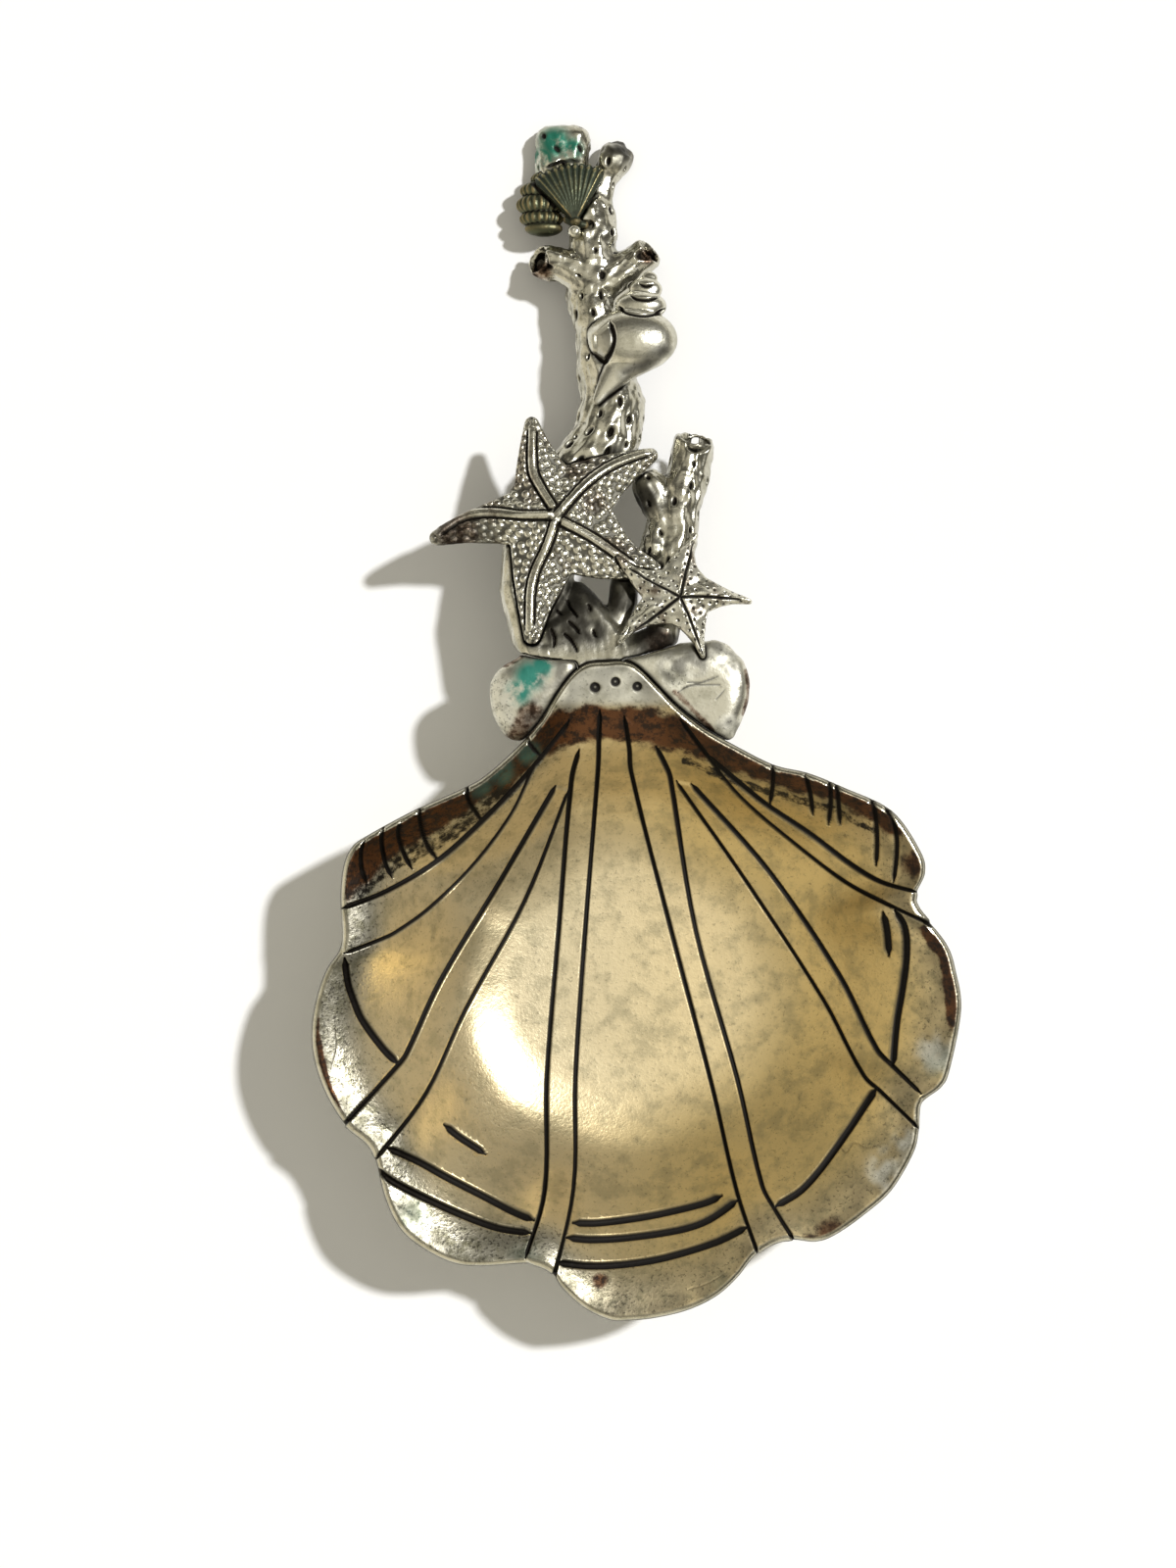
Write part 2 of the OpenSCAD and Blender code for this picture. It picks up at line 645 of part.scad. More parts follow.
shell_bowl();
hinge_ear_left();
hinge_ear_right();
coral_root();
coral_stem();
coral_branch();
starfish_large();
starfish_small();
whelk();
fan_scallop();
turban_shell();
pearl();
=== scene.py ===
"""Looks of a shell-bowl sugar spoon with a coral handle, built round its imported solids.

Forms are worked out in millimetres and turned into metres when a piece is finished.
Traced lines are pixels of the 1200 x 1600 photograph, laid on the solids by its camera.
"""
import math

import bmesh
import bpy
import numpy as np
from mathutils import Matrix, Vector, kdtree, noise
from mathutils.bvhtree import BVHTree


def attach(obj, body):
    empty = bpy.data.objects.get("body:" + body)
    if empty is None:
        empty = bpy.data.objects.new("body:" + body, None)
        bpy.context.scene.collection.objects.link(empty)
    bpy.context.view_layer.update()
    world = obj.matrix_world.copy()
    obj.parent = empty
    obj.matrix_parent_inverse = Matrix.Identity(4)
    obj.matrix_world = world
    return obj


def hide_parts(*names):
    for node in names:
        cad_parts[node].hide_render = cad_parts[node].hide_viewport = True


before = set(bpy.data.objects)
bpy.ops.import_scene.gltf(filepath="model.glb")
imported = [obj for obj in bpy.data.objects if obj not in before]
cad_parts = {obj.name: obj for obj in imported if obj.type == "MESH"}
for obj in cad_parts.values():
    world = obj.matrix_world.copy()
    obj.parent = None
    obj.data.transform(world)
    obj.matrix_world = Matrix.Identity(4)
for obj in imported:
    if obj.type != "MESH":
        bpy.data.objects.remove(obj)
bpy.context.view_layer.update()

MM = 0.001
BODY = "root"
FULL_TURN = 2 * math.pi

# The photograph's camera, straight above the spoon
IMAGE_WIDTH, IMAGE_HEIGHT = 1200, 1600
CAMERA_MM = np.array([-4.95, -7.2, 450.0])
RIM_HEIGHT_MM = 15.0
PIXEL_AT_RIM_MM = 0.1
PIXEL_SLOPE = PIXEL_AT_RIM_MM / (CAMERA_MM[2] - RIM_HEIGHT_MM)
SENSOR_MM = 36.0

# The bowl, as in the part's source
BOWL_WIDTH, BOWL_LENGTH, BOWL_HEIGHT = 66.5, 67.6, 15.0
FRONT_DROP, BOWL_WALL = 1.2, 1.4
FRONT_Y = -62.205
FLOOR_CENTRE_SHARE = (-0.007, 0.52)
# Its rim clockwise from the umbo, as shares of the width and length
RIM_OUTLINE_SHARES = np.array([
    (-0.047, 0.999), (-0.020, 1.000), (0.001, 0.991), (0.031, 0.962), (0.061, 0.932),
    (0.102, 0.900), (0.150, 0.873), (0.211, 0.843), (0.265, 0.830), (0.320, 0.808),
    (0.393, 0.773), (0.437, 0.712), (0.444, 0.679), (0.431, 0.648), (0.435, 0.625),
    (0.477, 0.572), (0.492, 0.529), (0.500, 0.471), (0.483, 0.383), (0.470, 0.355),
    (0.438, 0.328), (0.435, 0.288), (0.426, 0.253), (0.393, 0.198), (0.350, 0.160),
    (0.306, 0.130), (0.276, 0.120), (0.240, 0.123), (0.211, 0.117), (0.181, 0.097),
    (0.156, 0.066), (0.123, 0.037), (0.079, 0.016), (0.028, 0.004), (-0.014, 0.000),
    (-0.041, 0.001), (-0.080, 0.019), (-0.114, 0.049), (-0.132, 0.074), (-0.162, 0.086),
    (-0.190, 0.086), (-0.234, 0.083), (-0.277, 0.086), (-0.321, 0.105), (-0.362, 0.137),
    (-0.387, 0.185), (-0.402, 0.245), (-0.416, 0.270), (-0.449, 0.298), (-0.479, 0.346),
    (-0.497, 0.399), (-0.500, 0.446), (-0.492, 0.492), (-0.477, 0.533), (-0.458, 0.561),
    (-0.452, 0.590), (-0.455, 0.626), (-0.455, 0.657), (-0.450, 0.693), (-0.438, 0.718),
    (-0.417, 0.734), (-0.344, 0.773), (-0.265, 0.808), (-0.232, 0.827), (-0.187, 0.866),
    (-0.148, 0.908), (-0.124, 0.947), (-0.100, 0.979), (-0.076, 0.996)])
# Rise of the wall by share of the way to the rim: at the lobes, the shoulders and the umbo
WALL_RISE_SHARES = np.array([
    (0.00, 0.00, 0.00, 0.00), (0.28, 0.00, 0.00, 0.00), (0.42, 0.03, 0.02, 0.03),
    (0.55, 0.14, 0.10, 0.14), (0.66, 0.34, 0.22, 0.34), (0.75, 0.55, 0.37, 0.60),
    (0.83, 0.74, 0.55, 0.84), (0.90, 0.89, 0.73, 0.95), (0.96, 0.97, 0.90, 0.99),
    (1.00, 1.00, 1.00, 1.00)])
SHOULDER_START, SHOULDER_BLEND = 0.62, 0.14
UMBO_CREST, UMBO_SPREAD, UMBO_START = -0.04, 0.18, 0.78

# Fineness of the bowl's mesh
RIM_STEPS = 9
INNER_ROWS, OUTER_ROWS, LIP_ROWS = 100, 40, 7
TURN_STEPS, PROFILE_STEPS, NEXT_TO_CENTRE = 1440, 201, 0.03
LIP_RADIUS = BOWL_WALL / 2
FINE_REACH, FINE_CUTS = 0.75, 2
RISE_SOFTNESS = 0.028
# Where the scallops of the rim begin, and how soft they are below that, in radians
SCALLOP_START, DEEP_SOFTNESS = 0.62, 0.22
# Stains of the bowl and patches of painted highlight: pixel, then radius in millimetres
BOWL_RUST = [((352, 905), 1.6), ((875, 820), 1.4), ((930, 880), 1.5),
             ((845, 1252), 1.6), ((822, 1262), 1.0), ((612, 1300), 0.8)]
BOWL_TEAL = [((512, 786), 1.5), ((490, 800), 1.3), ((540, 768), 1.2)]
BOWL_GREEN = [((535, 1278), 1.6), ((740, 1316), 2.2), ((425, 1235), 1.6), ((955, 1080), 1.6)]
BOWL_PALE = [((905, 1190), 2.2), ((925, 1165), 1.8), ((950, 1070), 1.8)]
# Bands of painted brown and black reflection under the rim: half width in millimetres, then pixels
BROWN_BANDS = [
    (1.3, [(350, 900), (385, 862), (430, 836), (470, 809), (515, 787)]),
    (1.0, [(515, 787), (550, 760), (575, 738)]),
    (1.2, [(572, 745), (606, 737), (650, 739), (690, 748)]),
    (0.9, [(690, 748), (740, 770), (800, 791), (860, 806), (900, 828), (912, 840)]),
    (0.5, [(945, 949), (962, 972), (970, 1005), (973, 1043)]),
    (0.35, [(322, 1000), (321, 1050), (333, 1105), (348, 1140)]),
]
BLACK_BANDS = [
    (0.7, [(360, 916), (392, 888), (440, 862), (482, 834), (515, 808)]),
    (0.35, [(700, 776), (750, 797), (800, 812), (850, 826), (893, 848)]),
]
# Edge of the umbo that is polished bright
BRIGHT_BANDS = [(0.45, [(543, 749), (552, 735), (563, 719), (574, 705)])]
# Height at which bands are laid, and the umbo's middle
BAND_LEVEL = 13.0
UMBO_PIXEL, UMBO_LEVEL = (620, 680), 14.0

# The handle's frame, as in the part's source
HANDLE_LENGTH = 57.5
NECK_MM = np.array([-2.0, FRONT_Y + BOWL_LENGTH, 10.5])
HANDLE_TURN = np.array(Matrix.Rotation(-math.asin(NECK_MM[2] / HANDLE_LENGTH), 3, "X"))

# Engraved lines of the bowl: width and depth in millimetres, then pixels
THIN, BROAD, SCRATCH = (0.36, 0.34), (0.58, 0.42), (0.12, 0.06)
BOWL_LINES = [
    (THIN, [(538, 751), (542, 761), (552, 772)]),
    (THIN, [(478, 800), (478, 816), (492, 838)]),
    (THIN, [(430, 822), (430, 844), (437, 864), (447, 878)]),
    (THIN, [(409, 838), (407, 853), (413, 872), (421, 887)]),
    (THIN, [(391, 844), (390, 861), (394, 881), (401, 896)]),
    (THIN, [(372, 857), (369, 870), (370, 887), (375, 901)]),
    (BROAD, [(352, 978), (356, 1004), (361, 1019), (370, 1040), (392, 1070), (407, 1085)]),
    (BROAD, [(396, 1171), (426, 1184), (457, 1201), (494, 1220), (523, 1235), (545, 1244)]),
    (BROAD, [(384, 1191), (404, 1207), (436, 1223), (474, 1240), (508, 1252), (542, 1257)]),
    (BROAD, [(454, 1147), (470, 1160), (487, 1171), (496, 1177)]),
    (BROAD, [(585, 1247), (610, 1247), (649, 1242), (681, 1236), (717, 1227), (736, 1219)]),
    (BROAD, [(579, 1262), (603, 1264), (639, 1262), (693, 1254), (722, 1244), (752, 1223)]),
    (BROAD, [(569, 1288), (603, 1291), (639, 1289), (680, 1282), (729, 1267), (762, 1251)]),
    (BROAD, [(791, 1230), (814, 1216), (831, 1199), (850, 1174), (870, 1145), (893, 1110)]),
    (BROAD, [(912, 929), (922, 946), (924, 973), (920, 1007), (914, 1043), (910, 1087)]),
    (BROAD, [(900, 931), (904, 951), (906, 975)]),
    (THIN, [(902, 820), (913, 847), (914, 871), (911, 900)]),
    (THIN, [(887, 813), (893, 837), (894, 861), (893, 883)]),
    (THIN, [(851, 798), (855, 820), (857, 842)]),
    (THIN, [(844, 796), (847, 820), (845, 842)]),
    (THIN, [(821, 790), (826, 810), (829, 832)]),
    (THIN, [(788, 780), (788, 801), (785, 822)]),
    (SCRATCH, [(848, 1180), (856, 1170), (863, 1176), (871, 1166), (884, 1171), (902, 1166)]),
    (SCRATCH, [(700, 1316), (722, 1309), (741, 1298)]),
    (SCRATCH, [(338, 1092), (344, 1070), (343, 1048)]),
]
# Both edges of each rib, from the rim's notch to the umbo; their runs over the floor are
# guessed
BOWL_RIBS = [
    ([(349, 927), (395, 909), (447, 878), (492, 838), (538, 790), (577, 742), (581, 735)],
     [(351, 973), (387, 959), (404, 951), (440, 925), (485, 880), (522, 830), (545, 783),
      (553, 776)]),
    ([(350, 1147), (408, 1085), (416, 1073), (450, 1000), (510, 900), (567, 802)],
     [(384, 1182), (435, 1115), (475, 1030), (535, 920), (580, 806)]),
    ([(536, 1284), (556, 1213), (558, 1100), (570, 950), (583, 797), (591, 765)],
     [(564, 1302), (585, 1213), (587, 1100), (597, 950), (610, 786), (611, 755), (612, 725)]),
    ([(773, 1279), (752, 1217), (727, 1110), (685, 950), (644, 788), (642, 764), (637, 731)],
     [(810, 1265), (790, 1233), (777, 1208), (752, 1100), (710, 950), (684, 795), (678, 779),
      (669, 762)]),
    ([(937, 1151), (899, 1114), (881, 1097), (840, 1020), (765, 905), (690, 797)],
     [(940, 1116), (910, 1087), (894, 1070), (856, 995), (785, 890), (705, 800)]),
    ([(952, 945), (896, 918), (860, 898), (810, 860), (755, 813), (717, 766), (694, 735)],
     [(935, 910), (899, 900), (868, 882), (825, 850), (780, 820), (753, 798), (720, 770)]),
]
RIB_HEIGHT = 0.16
# Dimples on the umbo: pixel, then radius in millimetres
UMBO_DIMPLES = [((607, 702), 0.55), ((628, 696), 0.50), ((650, 701), 0.50)]

# Skins of the castings: voxel size in millimetres, then rounds of smoothing
CORAL_SKIN, EAR_SKIN, WHELK_SKIN = (0.14, 18), (0.13, 40), (0.09, 10)
LARGE_STAR_SKIN, SMALL_STAR_SKIN, FAN_SKIN = (0.09, 16), (0.08, 14), (0.075, 2)
# How far the carved skins lie under the smooth ones, in millimetres
CORAL_INSET, STAR_INSET, SHELL_INSET = 0.04, 0.02, 0.03
# Solids whose nearness darkens the skin over a node, and from how many millimetres
EAR_NEIGHBOURS = (("coral_root", "shell_bowl", "starfish_small"), 0.6)
NEIGHBOURS = {
    "hinge_ear_left": EAR_NEIGHBOURS,
    "hinge_ear_right": EAR_NEIGHBOURS,
    "coral_root": (("starfish_large", "starfish_small", "shell_bowl"), 0.50),
    "coral_stem": (("starfish_large", "whelk"), 0.50),
    "coral_branch": (("starfish_large", "starfish_small"), 0.50),
    "starfish_large": (("coral_stem", "coral_root", "coral_branch"), 0.45),
    "starfish_small": (("coral_root", "coral_branch", "starfish_large"), 0.4),
    "whelk": (("coral_stem",), 0.8),
    "fan_scallop": (("coral_stem", "turban_shell"), 0.2),
    "turban_shell": (("coral_stem", "fan_scallop"), 0.4),
}


def eased(v):
    v = np.clip(v, 0, 1)
    return v * v * (3 - 2 * v)


def above(values, start, span):
    """0 up to a start, 1 from a span above it."""
    return eased((values - start) / span)


def below(values, start, span):
    """0 down to a start, 1 from a span below it."""
    return eased((start - values) / span)


def most(*shares):
    return np.maximum.reduce(shares)


def widest(points, shares):
    """Largest of some shares at each point, 0 where there are none."""
    return most(np.zeros(len(points)), *shares)


# Ways between the photograph, the handle and the model
def mesh_arrays(node):
    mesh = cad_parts[node].data
    points = [v.co / MM for v in mesh.vertices]
    return points, [tuple(p.vertices) for p in mesh.polygons]


def solid_tree(*nodes):
    """Search tree over the solids of some CAD nodes, in millimetres."""
    points, faces = [], []
    for node in nodes:
        more, polygons = mesh_arrays(node)
        faces += [tuple(len(points) + i for i in polygon) for polygon in polygons]
        points += more
    return BVHTree.FromPolygons(points, faces)


def seen(tree, pixels):
    """Places in millimetres where the camera sees these pixels on a solid. A pixel that
    misses it is put at the mean height of those that don't."""
    ways = [Vector(((px - IMAGE_WIDTH / 2) * PIXEL_SLOPE,
                    (IMAGE_HEIGHT / 2 - py) * PIXEL_SLOPE, -1)) for px, py in pixels]
    start = Vector(CAMERA_MM)
    hits = [tree.ray_cast(start, way)[0] for way in ways]
    heights = [hit.z for hit in hits if hit]
    level = sum(heights) / len(heights) if heights else RIM_HEIGHT_MM
    return np.array([hit or start + way * (start.z - level) for hit, way in zip(hits, ways)])


def traced(tree, pixels):
    """Smooth curve through pixels, laid on a solid."""
    return smooth_line(seen(tree, pixels))


def level_places(pixels, height):
    """Places where the camera sees pixels at a height."""
    offsets = (np.asarray(pixels) - (IMAGE_WIDTH / 2, IMAGE_HEIGHT / 2)) * (1, -1)
    return CAMERA_MM[:2] + offsets * PIXEL_SLOPE * (CAMERA_MM[2] - height)


def on_bowl(shares):
    shares = np.asarray(shares)
    return np.stack([shares[..., 0] * BOWL_WIDTH, FRONT_Y + shares[..., 1] * BOWL_LENGTH], -1)


def from_handle(points):
    """Row-frame millimetres of points across, along and above the handle's flat back."""
    return np.asarray(points, float) @ HANDLE_TURN.T + NECK_MM


def to_handle(points):
    return (points - NECK_MM) @ HANDLE_TURN


# Meshes
def fetched(items, field, width=3, kind=float):
    """A value or vector of each element of a mesh, as rows."""
    flat = np.empty(len(items) * width, kind)
    items.foreach_get(field, flat)
    return flat.reshape(-1, width)


def get_points(mesh):
    return fetched(mesh.vertices, "co")


def get_normals(mesh):
    return fetched(mesh.vertex_normals, "vector", 3, np.float32).astype(float)


def set_points(mesh, points):
    mesh.vertices.foreach_set("co", points.ravel())
    mesh.update()


def placed(name, data):
    made = bpy.data.objects.new(name, data)
    bpy.context.scene.collection.objects.link(made)
    return made


def form_of(points, faces):
    """Bmesh of some points and faces."""
    mesh = bpy.data.meshes.new("form")
    mesh.from_pydata(points, [], faces)
    form = bmesh.new()
    form.from_mesh(mesh)
    bpy.data.meshes.remove(mesh)
    return form


def mesh_of(name, form):
    mesh = bpy.data.meshes.new(name)
    form.to_mesh(mesh)
    form.free()
    return mesh


def remeshed(name, form, skin):
    """Piece with an even fine skin over a form in millimetres."""
    piece = placed(name, mesh_of(name, form))
    fine = piece.modifiers.new("fine", "REMESH")
    fine.mode = "VOXEL"
    soft = piece.modifiers.new("soft", "SMOOTH")
    soft.factor = 0.5
    fine.voxel_size, soft.iterations = skin
    graph = bpy.context.evaluated_depsgraph_get()
    mesh = bpy.data.meshes.new_from_object(piece.evaluated_get(graph))
    piece.modifiers.clear()
    piece.data = mesh
    return piece


def cast_over(name, node, skin, hulls=()):
    """Fine skin over a node's solid and the hulls of some more points."""
    form = form_of(*mesh_arrays(node))
    bmesh.ops.remove_doubles(form, verts=form.verts, dist=1e-4)
    for hull in hulls:
        add_hull(form, hull)
    return remeshed(name, form, skin)


def surface(piece):
    return piece.data, get_points(piece.data), get_normals(piece.data)


def finish_piece(piece, node, slot, material, **masks):
    """Gives the piece its masks, turns it into metres and lets it stand for its CAD node."""
    mesh = piece.data
    for name, values in masks.items():
        layer = mesh.attributes.new(name, "FLOAT", "POINT")
        layer.data.foreach_set("value", np.clip(values, 0, 1).astype(np.float32))
    mesh.transform(Matrix.Scale(MM, 4))
    mesh.polygons.foreach_set("use_smooth", np.ones(len(mesh.polygons), bool))
    mesh.materials.clear()
    mesh.materials.append(material)
    mesh.update()
    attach(piece, BODY)
    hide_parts(node)


# Carving
def line_distance(points, line):
    """Distance of each point from a line in plan, and how far it lies from its ends."""
    best = np.full(len(points), np.inf)
    along = np.zeros(len(points))
    run = 0.0
    for a, b in zip(line[:-1, :2], line[1:, :2]):
        way = b - a
        length = max(np.linalg.norm(way), 1e-9)
        share = np.clip(((points[:, :2] - a) @ way) / length ** 2, 0, 1)
        gap = np.linalg.norm(points[:, :2] - a - share[:, None] * way, axis=1)
        nearer = gap < best
        best[nearer] = gap[nearer]
        along[nearer] = run + share[nearer] * length
        run += length
    return best, np.minimum(along, run - along)


def smooth_line(line, steps=6):
    """Smooth curve through the points of a line, also where they lie unevenly."""
    if len(line) < 3:
        return line
    padded = np.vstack([2 * line[0] - line[1], line, 2 * line[-1] - line[-2]])
    gaps = np.maximum(np.linalg.norm(np.diff(padded, axis=0), axis=1), 1e-9)[:, None]
    slopes = (padded[2:] - padded[:-2]) / (gaps[1:] + gaps[:-1])
    t = (np.arange(steps) / steps)[:, None]
    curve = [a * (1 + 2 * t) * (1 - t) ** 2 + b * t * t * (3 - 2 * t)
             + gap * (start * t * (1 - t) ** 2 - end * t * t * (1 - t))
             for a, b, gap, start, end in zip(line, line[1:], gaps[1:], slopes, slopes[1:])]
    return np.vstack(curve + [line[-1:]])


def near_line(points, line, reach):
    low, high = line[:, :2].min(0) - reach, line[:, :2].max(0) + reach
    inside = ((points[:, :2] > low) & (points[:, :2] < high)).all(1)
    return np.nonzero(inside)[0]


def groove(points, line, width, taper=0.8):
    """Share of a groove's depth at each point: 1 along its bottom, 0 outside."""
    share = np.zeros(len(points))
    near = near_line(points, line, 2 * width)
    if len(near):
        gap, to_end = line_distance(points[near], line)
        narrowed = width / 2 * (0.35 + 0.65 * eased(to_end / taper))
        share[near] = eased(1.5 - gap / narrowed)
    return share


def ridge(points, line, width, taper=1.5):
    """Share of a rounded ridge's height at each point."""
    share = np.zeros(len(points))
    near = near_line(points, line, 2 * width)
    if len(near):
        gap, to_end = line_distance(points[near], line)
        share[near] = np.exp(-(gap / (width / 2)) ** 2) * eased(to_end / taper)
    return share


def grooves(points, tree, lines, width, taper):
    """Share of the depth of grooves along lines of pixels."""
    return widest(points, (groove(points, traced(tree, pixels), width, taper)
                           for pixels in lines))


def carved(mesh, points, normals, shift):
    """Moves the points along their normals."""
    set_points(mesh, points + normals * shift[:, None])


def search_tree(points):
    tree = kdtree.KDTree(len(points))
    for i, point in enumerate(points):
        tree.insert(point, i)
    tree.balance()
    return tree


def spots(points, allowed, spacing, seed):
    """Evenly scattered places among the points, at least a spacing apart."""
    order = np.random.default_rng(seed).permutation(np.nonzero(allowed)[0])
    cells, kept = {}, []
    for i in order:
        p = points[i]
        cell = tuple(np.floor(p / spacing).astype(int))
        around = (cells.get((cell[0] + a, cell[1] + b, cell[2] + c))
                  for a in (-1, 0, 1) for b in (-1, 0, 1) for c in (-1, 0, 1))
        if all(q is None or np.dot(p - q, p - q) > spacing ** 2 for q in around):
            cells[cell] = p
            kept.append(p)
    return np.array(kept).reshape(-1, 3)


def nearest_gap(points, places, reach):
    """Distance of each point from the nearest place, no more than a reach."""
    tree = search_tree(places)
    return np.array([min(reach, tree.find(p)[2]) for p in points])


def field(points, size, seed=0.0):
    """Smooth noise, from -1 to 1, with lumps of a size."""
    shifted = points / size + seed * 17.3
    return np.array([noise.noise(p) for p in shifted])


def contact(points, node):
    """How close each point lies to the node's neighbours: 1 on them, 0 beyond their reach."""
    nodes, reach = NEIGHBOURS[node]
    tree = solid_tree(*nodes)
    found = (tree.find_nearest(p, reach)[3] for p in points)
    return eased(np.array([0.0 if gap is None else 1 - gap / reach for gap in found]))


def upward(normals, start=0.0, full=0.35):
    return above(normals[:, 2], start, full - start)


def sideways(normals, level=0.30, span=0.5):
    """1 on the sides and below, 0 where the skin looks up."""
    return below(normals[:, 2], level, span)


def inside_share(points, corners, softness):
    """1 well inside an outline in plan, 0 outside, eased over a softness."""
    x, y = points[:, 0], points[:, 1]
    inside = np.zeros(len(points), bool)
    for a, b in zip(corners, np.roll(corners, -1, 0)):
        crosses = (a[1] > y) != (b[1] > y)
        with np.errstate(divide="ignore", invalid="ignore"):
            at = a[0] + (y - a[1]) * (b[0] - a[0]) / (b[1] - a[1])
        inside ^= crosses & (x < at)
    gap, _ = line_distance(points, np.vstack([corners, corners[:1]]))
    return eased(0.5 + np.where(inside, gap, -gap) / (2 * softness))


def hollows(mesh, rounds):
    """How far each point lies under its smoothed surroundings, in millimetres."""
    points, normals = get_points(mesh), get_normals(mesh)
    a, b = fetched(mesh.edges, "vertices", 2, np.int32).T
    size = len(points)
    count = np.maximum(np.bincount(a, minlength=size) + np.bincount(b, minlength=size), 1)
    soft = points.copy()
    for _ in range(rounds):
        for k in range(3):
            total = np.bincount(a, soft[b, k], size) + np.bincount(b, soft[a, k], size)
            soft[:, k] = total / count
    return ((soft - points) * normals).sum(1)


# Stains
def plan_gap(points, place):
    return np.linalg.norm(points[:, :2] - place, axis=1)


def stained(points, stains):
    """Soft stains round pixels: 1 at their middle."""
    height = points[:, 2].mean()
    gaps = [(plan_gap(points, level_places(pixel, height)), radius) for pixel, radius in stains]
    return widest(points, (eased(1.5 - gap / radius) for gap, radius in gaps))


def banded(points, bands):
    """1 along uneven bands laid near the rim, 0 beside them."""
    uneven = 1 + 0.35 * field(points, 1.6, 2.0)
    gaps = [(line_distance(points, level_places(pixels, BAND_LEVEL))[0], width)
            for width, pixels in bands]
    return widest(points, (eased(1.6 - 0.8 * gap / width / uneven) for gap, width in gaps))


# Materials
def node_of(tree, kind, inputs=None, **settings):
    made = tree.nodes.new(kind)
    for key, value in settings.items():
        setattr(made, key, value)
    for key, value in (inputs or {}).items():
        socket = made.inputs[key]
        if isinstance(value, bpy.types.NodeSocket):
            tree.links.new(value, socket)
        else:
            socket.default_value = value
    return made


def empty_tree(owner):
    """Node tree of a material or world, with nothing in it."""
    owner.use_nodes = True
    owner.node_tree.nodes.clear()
    return owner.node_tree


def math_node(tree, operation, *values, clamp=False):
    return node_of(tree, "ShaderNodeMath", dict(enumerate(values)), operation=operation,
                   use_clamp=clamp).outputs[0]


def times(tree, a, b, clamp=False):
    return math_node(tree, "MULTIPLY", a, b, clamp=clamp)


def summed(tree, start, *terms):
    """A number or socket plus socket times factor for each term."""
    total = start
    for socket, factor in terms:
        total = math_node(tree, "MULTIPLY_ADD", socket, factor, total)
    return total


def mixed(tree, factor, a, b):
    made = node_of(tree, "ShaderNodeMix", {0: factor, 6: a, 7: b}, data_type="RGBA")
    return made.outputs[2]


def ramped(tree, value, low, high):
    """0 below a value, 1 above another."""
    made = node_of(tree, "ShaderNodeMapRange", {0: value, 1: low, 2: high},
                   interpolation_type="SMOOTHSTEP")
    return made.outputs[0]


def noise_node(tree, where, size_mm, detail, roughness):
    made = node_of(tree, "ShaderNodeTexNoise",
                   {"Vector": where, "Scale": 1 / (size_mm * MM), "Detail": detail,
                    "Roughness": roughness})
    return made.outputs["Fac"]


def attribute(tree, name):
    return node_of(tree, "ShaderNodeAttribute", attribute_name=name).outputs["Fac"]


def eaten_mask(tree, name, patch, low, high):
    """A stain whose edge a noise eats into."""
    return ramped(tree, summed(tree, attribute(tree, name), (patch, 0.9)), low, high)


# Black of oxide and of painted shade; brown of rust and of painted reflection
OXIDE_COLOUR = (0.012, 0.010, 0.008, 1)
TARNISH_OLIVE = (0.17, 0.16, 0.09, 1)
RUST_BROWN = (0.14, 0.058, 0.022, 1)
PATINA_TEAL = (0.025, 0.20, 0.15, 1)
TIP_TEAL = (0.010, 0.15, 0.095, 1)
PATINA_GREEN = (0.05, 0.13, 0.09, 1)
# Gold of painted reflection and sheen; pale of rubbed metal and of painted highlight
WARM_GOLD = (0.64, 0.48, 0.20, 1)
RUBBED_METAL = (0.92, 0.90, 0.76, 1)
# Size in millimetres, detail and roughness of the noises that stain the metal
CLOUD, PATCH, SPECK = (2.2, 5.0, 0.65), (1.1, 6.0, 0.72), (0.35, 2.0, 0.7)


